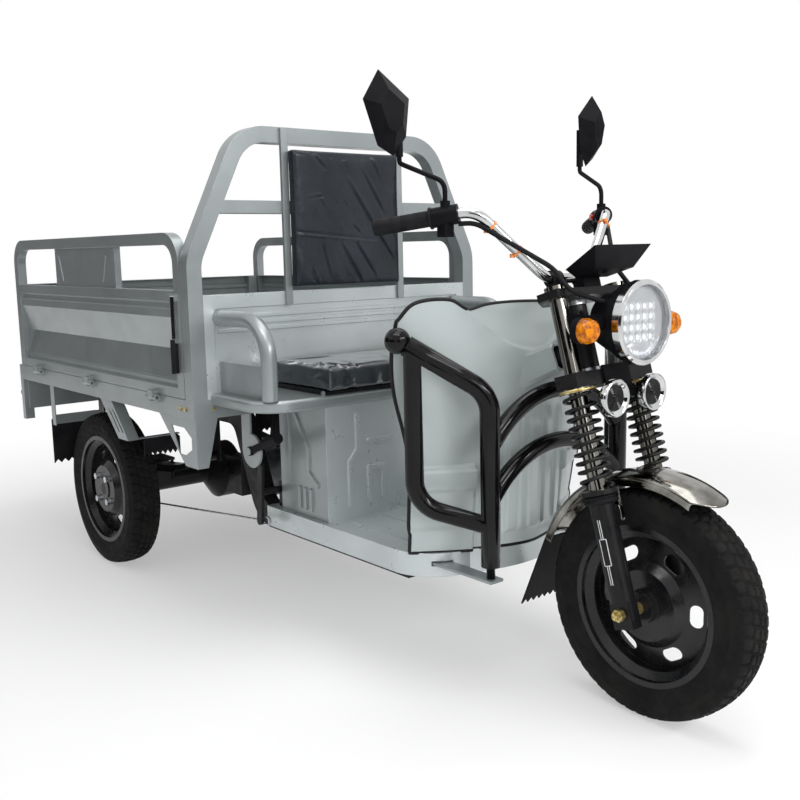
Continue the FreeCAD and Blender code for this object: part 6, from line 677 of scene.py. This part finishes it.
mirror_glass = new_finish("mirror_glass", tone(196, 202, 206), 0.03, 1.0)
gloss(mirror_glass, cloud(mirror_glass, 60), 0.02, 0.06)
tint(mirror_glass, cloud(mirror_glass, 12), tone(186, 192, 197), tone(204, 210, 214))
mirror_wide = 0.104
mirror_tall = 0.168
outline = ((-0.13, -0.5), (0.21, -0.38), (0.5, 0.15), (0.16, 0.5), (-0.5, 0.18), (-0.42, -0.27))
for name, side in both_sides:
    shoulder, end, run = bar_side(side)
    housing = end - run * (grip_length + 0.0003 + 0.027)
    top = housing + Vector((-0.096, side * 0.037, 0.030 + 0.092))
    centre = top + Vector((0, side * mirror_wide * 0.3, 0.0843))
    turn = Matrix.Rotation(math.radians(side * 12.0), 4, "Z")
    points = [centre + turn @ Vector((back, side * across * mirror_wide * shrink, up * mirror_tall * shrink))
              for back, shrink in ((-0.0002, 0.90), (-0.0012, 0.89), (-0.0016, 0.86))
              for across, up in outline]
    faces = net_faces(3, 6, False, True) + [tuple(range(12, 18)), tuple(range(5, -1, -1))]
    glass = new_piece(name + "_mirror_glass", points, faces, mirror_glass, "mirror_" + name, smooth=False)
for name in ("switch_housings", "mirror_stems", "right_mirror", "left_mirror", "display"):
    dress(name, grained_black)
dress("horn_button", signal_red)

# Headlight with reflector and lamps, signals, horns and display on the fork, and the tail lamps.
# Black bowl, chromed ring, clear lens, facetted amber and red, black horns with bright rims.
clear_lens = new_finish("clear_lens", tone(244, 247, 250), 0.03)
clear_lens.node_tree.nodes["Principled BSDF"].inputs["Alpha"].default_value = 0.16
gloss(clear_lens, cloud(clear_lens, 60), 0.02, 0.06)
amber_lens = new_finish("amber_lens", tone(190, 108, 0), 0.16, coat=0.1, shine=0.25)
tint(amber_lens, cloud(amber_lens, 90, 2), tone(138, 70, 0), tone(198, 116, 0), 0.38, 0.6)


def facets(finish, size, depth):
    """Small moulded facets, as lamp lenses have them to spread the light."""
    tree = finish.node_tree
    place = tree.nodes.new("ShaderNodeTexCoord")
    cells = tree.nodes.new("ShaderNodeTexVoronoi")
    cells.inputs["Scale"].default_value = 1 / size
    tree.links.new(place.outputs["Object"], cells.inputs["Vector"])
    relief(finish, cells.outputs["Distance"], depth, 0.8)


facets(amber_lens, 0.006, 0.0009)
red_lens = new_finish("red_lens", tone(170, 14, 16), 0.16, coat=0.6)
tint(red_lens, cloud(red_lens, 70), tone(150, 10, 12), tone(190, 22, 22))
facets(red_lens, 0.006, 0.0016)
dress("headlight_shell", grained_black)
lamp_face = Vector((0.982, 0, 0.796))
lamp_chrome = new_finish("lamp_chrome", tone(104, 106, 110), 0.14, 1.0)
tint(lamp_chrome, cloud(lamp_chrome, 60), tone(84, 86, 90), tone(124, 126, 130))
dish = [(0.0, -0.0290)]
dish += [(0.0700 * step / 28, -0.0290 + 0.013 * (step / 28) ** 3) for step in range(1, 29)]
dish += [(0.0722, -0.0140), (0.0730, -0.0150), (0.0715, -0.0185), (0.066, -0.0200), (0.0, -0.0330)]
points, faces = turned(dish, lamp_face, (1, 0, 0), 144)
for point in points:
    up = point - lamp_face
    if math.hypot(up.y, up.z) < 0.0705 and up.x > -0.0295:
        point.x += 0.0028 * math.cos(up.y * 2 * math.pi / 0.0105) * smooth_step(0.040, 0.045, abs(up.z))
reflector = new_piece("headlight_reflector", points, faces, lamp_chrome, "steering")
diode_white = new_finish("diode_white", tone(208, 210, 213), 0.18, coat=0.6)
tint(diode_white, cloud(diode_white, 300), tone(198, 200, 204), tone(216, 218, 221))
lamp_pitch = 0.0204
cup = [(0.0040, -0.0262), (0.0066, -0.0250), (0.0084, -0.0215), (0.0090, -0.0188), (0.0096, -0.0182),
       (0.0098, -0.0190), (0.0094, -0.0245), (0.0080, -0.0280)]
bulb = [(0.0, -0.0188), (0.0020, -0.0189), (0.0040, -0.0196), (0.0054, -0.0212), (0.0060, -0.0236),
        (0.0060, -0.0268)]
places = [lamp_face + Vector((0, (column - 2) * lamp_pitch, (row - 1.5) * lamp_pitch))
          for row in range(4) for column in range(5)]
cups = joined([turned(cup, place, (1, 0, 0), 20) for place in places])
lamp_cups = new_piece("headlight_lamp_cups", *cups, chrome, "steering")
bulbs = joined([turned(bulb, place, (1, 0, 0), 20) for place in places])
lamp_bulbs = new_piece("headlight_lamp_bulbs", *bulbs, diode_white, "steering")
dress("headlight_ring", chrome)
dress("headlight_lens", clear_lens)
dress("turn_signals", amber_lens)
dress("tail_lamps", red_lens)
dress("horn_set", grained_black)
bowl = [(0.0374, -0.0135), (0.0379, -0.0120), (0.0381, -0.0040), (0.0378, 0.0004), (0.0366, 0.0022),
        (0.0348, 0.0028), (0.0330, 0.0022), (0.0300, -0.0002), (0.0275, -0.0026), (0.0262, -0.0034),
        (0.0255, -0.0046)]
cone = [(0.0, 0.0034), (0.0040, 0.0032), (0.0066, 0.0016), (0.0078, -0.0006)]
for ring in range(4):
    start = 0.0092 + 0.0044 * ring
    cone += [(start, -0.0008), (start + 0.0012, 0.0010), (start + 0.0026, 0.0010), (start + 0.0038, -0.0008)]
for name, side in both_sides:
    horn_face = Vector((0.959, side * 0.060, 0.651))
    bezel = new_piece(name + "_horn_bezel", *turned(bowl, horn_face, (1, 0, 0), 64), chrome, "steering")
    rings = turned(cone, horn_face - Vector((0.0042, 0, 0)), (1, 0, 0), 56)
    disc = new_piece(name + "_horn_disc", *rings, guard_gloss, "steering")
screen_glass = new_finish("screen_glass", tone(12, 13, 16), 0.08, shine=0.4)
tint(screen_glass, cloud(screen_glass, 20), tone(9, 10, 12), tone(16, 18, 22))
corners = [Vector((0.924, -0.088, 0.948)), Vector((0.924, 0.088, 0.948)),
           Vector((0.836, 0.0722, 0.900)), Vector((0.836, -0.0722, 0.900))]
middle = sum(corners, Vector()) / 4
lift = Vector((-0.048, 0, 0.088)).normalized()
points = []
for height, share in ((0.0004, 0.90), (0.0022, 0.895), (0.0027, 0.885), (0.0027, 0.83), (0.0016, 0.80)):
    points += [middle + (place - middle) * share + lift * height for place in corners]
faces = net_faces(5, 4, False, True) + [(16, 17, 18, 19), (3, 2, 1, 0)]
screen = new_piece("display_screen", points, faces, screen_glass, "steering", smooth=False)

# Seat board, brake shaft, rods, pedal, hand lever and gate latches: plain steel pieces.
# Painted, zinc plated or chromed; the hand lever and the lower ends of the latches are in black rubber.
for name in ("seat_base", "brake_shaft", "brake_pedal"):
    dress(name, black_enamel)
dress("brake_rods", bright_zinc)
dress("hand_lever", flap_rubber)
latch_grip_z = 0.735
for name in ("right_latch", "left_latch"):
    dress(name, chrome, (flap_rubber, lambda middle: middle.z < latch_grip_z))

# Seat cushion and backrest: foam on a board in thin black vinyl, drawn over and stapled behind.
# The cover is slack enough to crease; the seat's is glossier than the backrest's, and coloured lighter as
# painted light for its shaded front.
vinyl = new_finish("black_vinyl", tone(27, 31, 37), 0.28, shine=0.3)
tint(vinyl, cloud(vinyl, 9, 5), tone(23, 27, 33), tone(33, 37, 43))
gloss(vinyl, cloud(vinyl, 30), 0.24, 0.36)
relief(vinyl, cloud(vinyl, 420, 3), 0.0003, 0.3)
# Black vinyl in a lighter colour than the backrest's: painted light for the seat's shaded front.
seat_vinyl_painted_light = new_finish("black_gloss_vinyl_painted_light", tone(48, 52, 55), 0.16, coat=0.8)
tint(seat_vinyl_painted_light, cloud(seat_vinyl_painted_light, 9, 5), tone(42, 46, 49), tone(54, 58, 61))
gloss(seat_vinyl_painted_light, cloud(seat_vinyl_painted_light, 30), 0.12, 0.22)
relief(seat_vinyl_painted_light, cloud(seat_vinyl_painted_light, 420, 3), 0.0002, 0.2)


def evaluated(piece):
    """A piece with its modifiers worked out."""
    return piece.evaluated_get(bpy.context.evaluated_depsgraph_get())


def stuffed(name, node, low_trim, high_trim, swell, finish):
    """A square pad in its node's place, trimmed a little, then blown out against its cover as cloth."""
    low, high = (Vector(corner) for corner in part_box(node))
    low += Vector(low_trim)
    high -= Vector(high_trim)
    form = bmesh.new()
    bmesh.ops.create_cube(form, size=2.0)
    for point in form.verts:
        point.co = Vector(tuple(high[axis] if point.co[axis] > 0 else low[axis] for axis in range(3)))
    cover = bpy.data.meshes.new(name)
    form.to_mesh(cover)
    form.free()
    pad = in_scene(name, cover)
    even = pad.modifiers.new("even_skin", "REMESH")
    even.mode = "VOXEL"
    even.voxel_size = 0.005
    pad.data = bpy.data.meshes.new_from_object(evaluated(pad))
    pad.modifiers.clear()
    start = [point.co.copy() for point in pad.data.vertices]
    blown = pad.modifiers.new("blown_cover", "CLOTH")
    blown.settings.use_pressure = True
    blown.settings.uniform_pressure_force = 4.0
    blown.settings.effector_weights.gravity = 0.0
    for step in range(1, 21):
        bpy.context.scene.frame_set(step)
    ends = [point.co.copy() for point in evaluated(pad).data.vertices]
    pad.modifiers.clear()
    bpy.context.scene.frame_set(1)
    for point, first, last in zip(pad.data.vertices, start, ends):
        move = last - first
        point.co = first + move * min(1.0, swell / max(move.length, 1e-6))
    fine = pad.modifiers.new("fine_skin", "SUBSURF")
    fine.levels = 1
    fine.render_levels = 1
    pad.data = bpy.data.meshes.new_from_object(evaluated(pad))
    pad.modifiers.clear()
    pad.data.name = name
    pad.data.materials.append(finish)
    for face in pad.data.polygons:
        face.use_smooth = True
    return pad


def crease(place, start, end, width, depth):
    """How far a fold between two places on the cover lifts or sinks it: a ridge beside a valley."""
    run = end - start
    share = min(max((place - start).dot(run) / run.length_squared, 0.0), 1.0)
    off = (place - start) - run * share
    side = (run.x * off.y - run.y * off.x) / run.length
    fade = math.exp(-(((place - start).dot(run) / run.length_squared - share) * run.length / width) ** 2)
    taper = math.sin(math.pi * (0.12 + 0.76 * share))
    return depth * taper * fade * (math.exp(-((side - width * 0.7) / width) ** 2)
                                   - 1.2 * math.exp(-((side + width * 0.7) / width) ** 2))


def creased(place, folds):
    """How far all the folds together lift or sink the cover at a place."""
    return sum(crease(place, Vector(first), Vector(last), width, depth)
               for first, last, width, depth in folds)


backrest = stuffed("backrest_cushion", "backrest_pad", (0.004, 0.003, 0.003), (0.015, 0.026, 0.010), 0.005,
                   vinyl)
low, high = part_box("backrest_pad")
folds = [
    ((-0.014, 1.129), (0.139, 0.918), 0.0062, 0.0042), ((0.032, 1.161), (0.110, 1.038), 0.0050, 0.0034),
    ((0.057, 1.206), (0.096, 1.129), 0.0050, 0.0028), ((-0.139, 1.212), (-0.085, 1.158), 0.0045, 0.0030),
    ((0.080, 0.971), (-0.172, 0.993), 0.0034, 0.0042), ((-0.039, 0.966), (0.029, 0.861), 0.0055, 0.0036),
    ((0.011, 0.966), (0.071, 0.881), 0.0055, 0.0032), ((-0.132, 0.901), (-0.114, 0.855), 0.0050, 0.0030),
    ((-0.139, 1.083), (-0.093, 1.089), 0.0036, 0.0018), ((-0.103, 1.083), (-0.089, 1.058), 0.0036, 0.0018),
    ((-0.054, 1.081), (-0.046, 1.061), 0.0036, 0.0016), ((-0.029, 1.081), (-0.018, 1.058), 0.0036, 0.0016),
    ((-0.004, 1.018), (0.025, 0.992), 0.0042, 0.0024), ((-0.100, 0.966), (-0.080, 0.890), 0.0055, 0.0018),
]
for point in backrest.data.vertices:
    place = Vector((point.co.y, point.co.z))
    facing = smooth_step(low[0] + 0.4 * (high[0] - low[0]), high[0], point.co.x)
    lift = creased(place, folds)
    lift += 0.0022 * noise.noise(Vector((place.x * 34 + place.y * 18, place.y * 9 - place.x * 4, 0.5)))
    point.co.x = max(low[0], point.co.x + lift * facing)
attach(backrest, "chassis")
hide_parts("backrest_pad")

seat_pad = stuffed("seat_pad", "seat_cushion", (0.003, 0.004, 0.003), (0.003, 0.004, 0.006), 0.006,
                   seat_vinyl_painted_light)
low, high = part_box("seat_cushion")
folds = [
    ((0.265, -0.200), (0.180, -0.235), 0.0060, 0.0050), ((0.265, -0.170), (0.190, -0.160), 0.0060, 0.0036),
    ((0.262, -0.040), (0.150, -0.010), 0.0070, 0.0018), ((0.262, 0.060), (0.150, 0.050), 0.0070, 0.0020),
    ((0.265, 0.210), (0.170, 0.235), 0.0060, 0.0046), ((0.060, -0.235), (0.080, -0.110), 0.0060, 0.0020),
    ((0.060, 0.235), (0.080, 0.110), 0.0060, 0.0020), ((0.230, -0.245), (0.150, -0.200), 0.0055, 0.0040),
]
for point in seat_pad.data.vertices:
    place = Vector((point.co.x, point.co.y))
    upper = smooth_step(low[2] + 0.35 * (high[2] - low[2]), high[2], point.co.z)
    lift = creased(place, folds)
    lift += 0.0014 * noise.noise(Vector((place.x * 16, place.y * 22, 1.5)))
    wander = 3 * noise.noise(Vector((place.y * 20, 0, 0)))
    pleat = smooth_step(0.225, 0.268, point.co.x) * math.sin(place.y * 95 + wander)
    point.co.z = max(low[2], point.co.z + lift * upper)
    point.co.x += 0.0012 * pleat * (1 - upper)
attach(seat_pad, "seat")
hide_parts("seat_cushion")

# Studio: pale floor that keeps the shadow, white surround, soft lamps and the photograph's camera.
# Dark cards are seen by glossy rays alone and two lamps give no diffuse light: they shape the highlights.
floor_mesh = bpy.data.meshes.new("studio_floor")
sheet = bmesh.new()
bmesh.ops.create_grid(sheet, x_segments=8, y_segments=8, size=40.0)
sheet.to_mesh(floor_mesh)
sheet.free()
studio_floor = in_scene("studio_floor", floor_mesh)
floor_pale = new_finish("floor_pale", (0.9, 0.9, 0.9, 1), 0.9, shine=0.0)
tree = floor_pale.node_tree
white = tree.nodes.new("ShaderNodeEmission")
white.inputs["Color"].default_value = (1, 1, 1, 1)
place = tree.nodes.new("ShaderNodeTexCoord")
spread = tree.nodes.new("ShaderNodeMapping")
spread.inputs["Scale"].default_value = (0.3, 0.3, 0.3)
far = tree.nodes.new("ShaderNodeTexGradient")
far.gradient_type = "QUADRATIC_SPHERE"
fade = tree.nodes.new("ShaderNodeMapRange")
for value, level in (("From Min", 0.0), ("From Max", 0.25), ("To Min", 1.0), ("To Max", 0.35)):
    fade.inputs[value].default_value = level
blend = tree.nodes.new("ShaderNodeMixShader")
tree.links.new(place.outputs["Object"], spread.inputs["Vector"])
tree.links.new(spread.outputs["Vector"], far.inputs["Vector"])
tree.links.new(far.outputs["Fac"], fade.inputs["Value"])


def seen_straight(tree):
    """1 for a ray from the camera, from a mirror or through glass, and 0 for one that spreads light."""
    ray = tree.nodes.new("ShaderNodeLightPath")
    seen = ray.outputs["Is Camera Ray"]
    for kind in ("Is Glossy Ray", "Is Transmission Ray"):
        either = tree.nodes.new("ShaderNodeMath")
        either.operation = "MAXIMUM"
        tree.links.new(seen, either.inputs[0])
        tree.links.new(ray.outputs[kind], either.inputs[1])
        seen = either.outputs[0]
    return seen


share = tree.nodes.new("ShaderNodeMath")
share.operation = "MULTIPLY"
tree.links.new(fade.outputs["Result"], share.inputs[0])
tree.links.new(seen_straight(tree), share.inputs[1])
tree.links.new(share.outputs[0], blend.inputs["Fac"])
tree.links.new(tree.nodes["Principled BSDF"].outputs["BSDF"], blend.inputs[1])
tree.links.new(white.outputs["Emission"], blend.inputs[2])
tree.links.new(blend.outputs["Shader"], tree.nodes["Material Output"].inputs["Surface"])
floor_mesh.materials.append(floor_pale)

surround = bpy.data.worlds.new("studio_surround")
bpy.context.scene.world = surround
surround.use_nodes = True
tree = surround.node_tree
backdrop = tree.nodes["Background"]
backdrop.inputs["Color"].default_value = (1, 1, 1, 1)
level = tree.nodes.new("ShaderNodeMapRange")
level.inputs["To Min"].default_value = 0.5
tree.links.new(seen_straight(tree), level.inputs["Value"])
tree.links.new(level.outputs["Result"], backdrop.inputs["Strength"])


def soft_lamp(name, place, target, wide, tall, power):
    """Soft box lamp that faces a point."""
    lamp = bpy.data.lights.new(name, "AREA")
    lamp.shape = "RECTANGLE"
    lamp.size = wide
    lamp.size_y = tall
    lamp.energy = power
    holder = in_scene(name, lamp)
    holder.location = place
    holder.rotation_euler = (Vector(target) - Vector(place)).to_track_quat("-Z", "Y").to_euler()
    return holder


soft_lamp("overhead_lamp", (0.6, 0.3, 4.2), (0.1, 0, 0.5), 3.6, 2.2, 70)
soft_lamp("front_lamp", (4.3, 0.7, 2.6), (0.2, 0, 0.6), 2.2, 0.5, 60)
soft_lamp("right_side_lamp", (-0.6, -4.3, 2.9), (-0.3, 0, 0.6), 2.6, 0.3, 6)
front_fill = soft_lamp("front_fill_lamp", (4.2, -1.7, 1.3), (0.2, 0, 0.5), 2.4, 1.6, 120)
front_fill.visible_glossy = False
for name, place, wide, tall, power in (("top_sheen_strip", (1.6, -1.6, 3.8), 3.0, 0.7, 45),
                                       ("front_sheen_strip", (4.4, -1.0, 2.4), 0.5, 1.8, 14)):
    sheen_lamp = soft_lamp(name, place, (0.5, 0, 0.6), wide, tall, power)
    sheen_lamp.visible_diffuse = False

card_dark = new_finish("card_dark", (0.02, 0.02, 0.02, 1), 1.0, shine=0.0)
for name, place, wide, low, high in (
        ("front_card", (4.6, -2.4), 2.6, 0.35, 1.9), ("right_card", (0.6, -4.6), 4.4, 0.35, 1.9),
        ("rear_right_card", (-4.2, -3.4), 5.0, 0.05, 2.6), ("left_card", (0.5, 4.6), 4.6, 0.35, 1.9),
        ("rear_card", (-4.8, 1.4), 2.6, 0.4, 1.9)):
    across = Vector((-place[1], place[0], 0)).normalized() * (wide / 2)
    middle = Vector((place[0], place[1], 0))
    points = [middle + across * way + Vector((0, 0, height))
              for way, height in ((-1, low), (1, low), (1, high), (-1, high))]
    skin = bpy.data.meshes.new(name)
    skin.from_pydata([tuple(point) for point in points], [], [(0, 1, 2, 3)])
    skin.materials.append(card_dark)
    card = in_scene(name, skin)
    card.visible_camera = False
    card.visible_diffuse = False
    card.visible_shadow = False
    card.visible_transmission = False

forward = Vector((-0.7634, 0.6282, -0.1506)).normalized()
level_right = Vector((0.6354, 0.7722, 0.0)).normalized()
level_down = forward.cross(level_right)
roll = math.radians(1.2171)
right = level_right * math.cos(roll) + level_down * math.sin(roll)
down = level_down * math.cos(roll) - level_right * math.sin(roll)
eye = bpy.data.cameras.new("photo_camera")
eye.lens = 44.694
eye.sensor_width = 36.0
eye.clip_end = 200.0
photo_camera = in_scene("photo_camera", eye)
turn = Matrix((right, -down, -forward)).transposed().to_4x4()
photo_camera.matrix_world = Matrix.Translation((2.169, -1.6045, 0.9485)) @ turn
bpy.context.scene.camera = photo_camera
bpy.context.scene.view_settings.view_transform = "Standard"
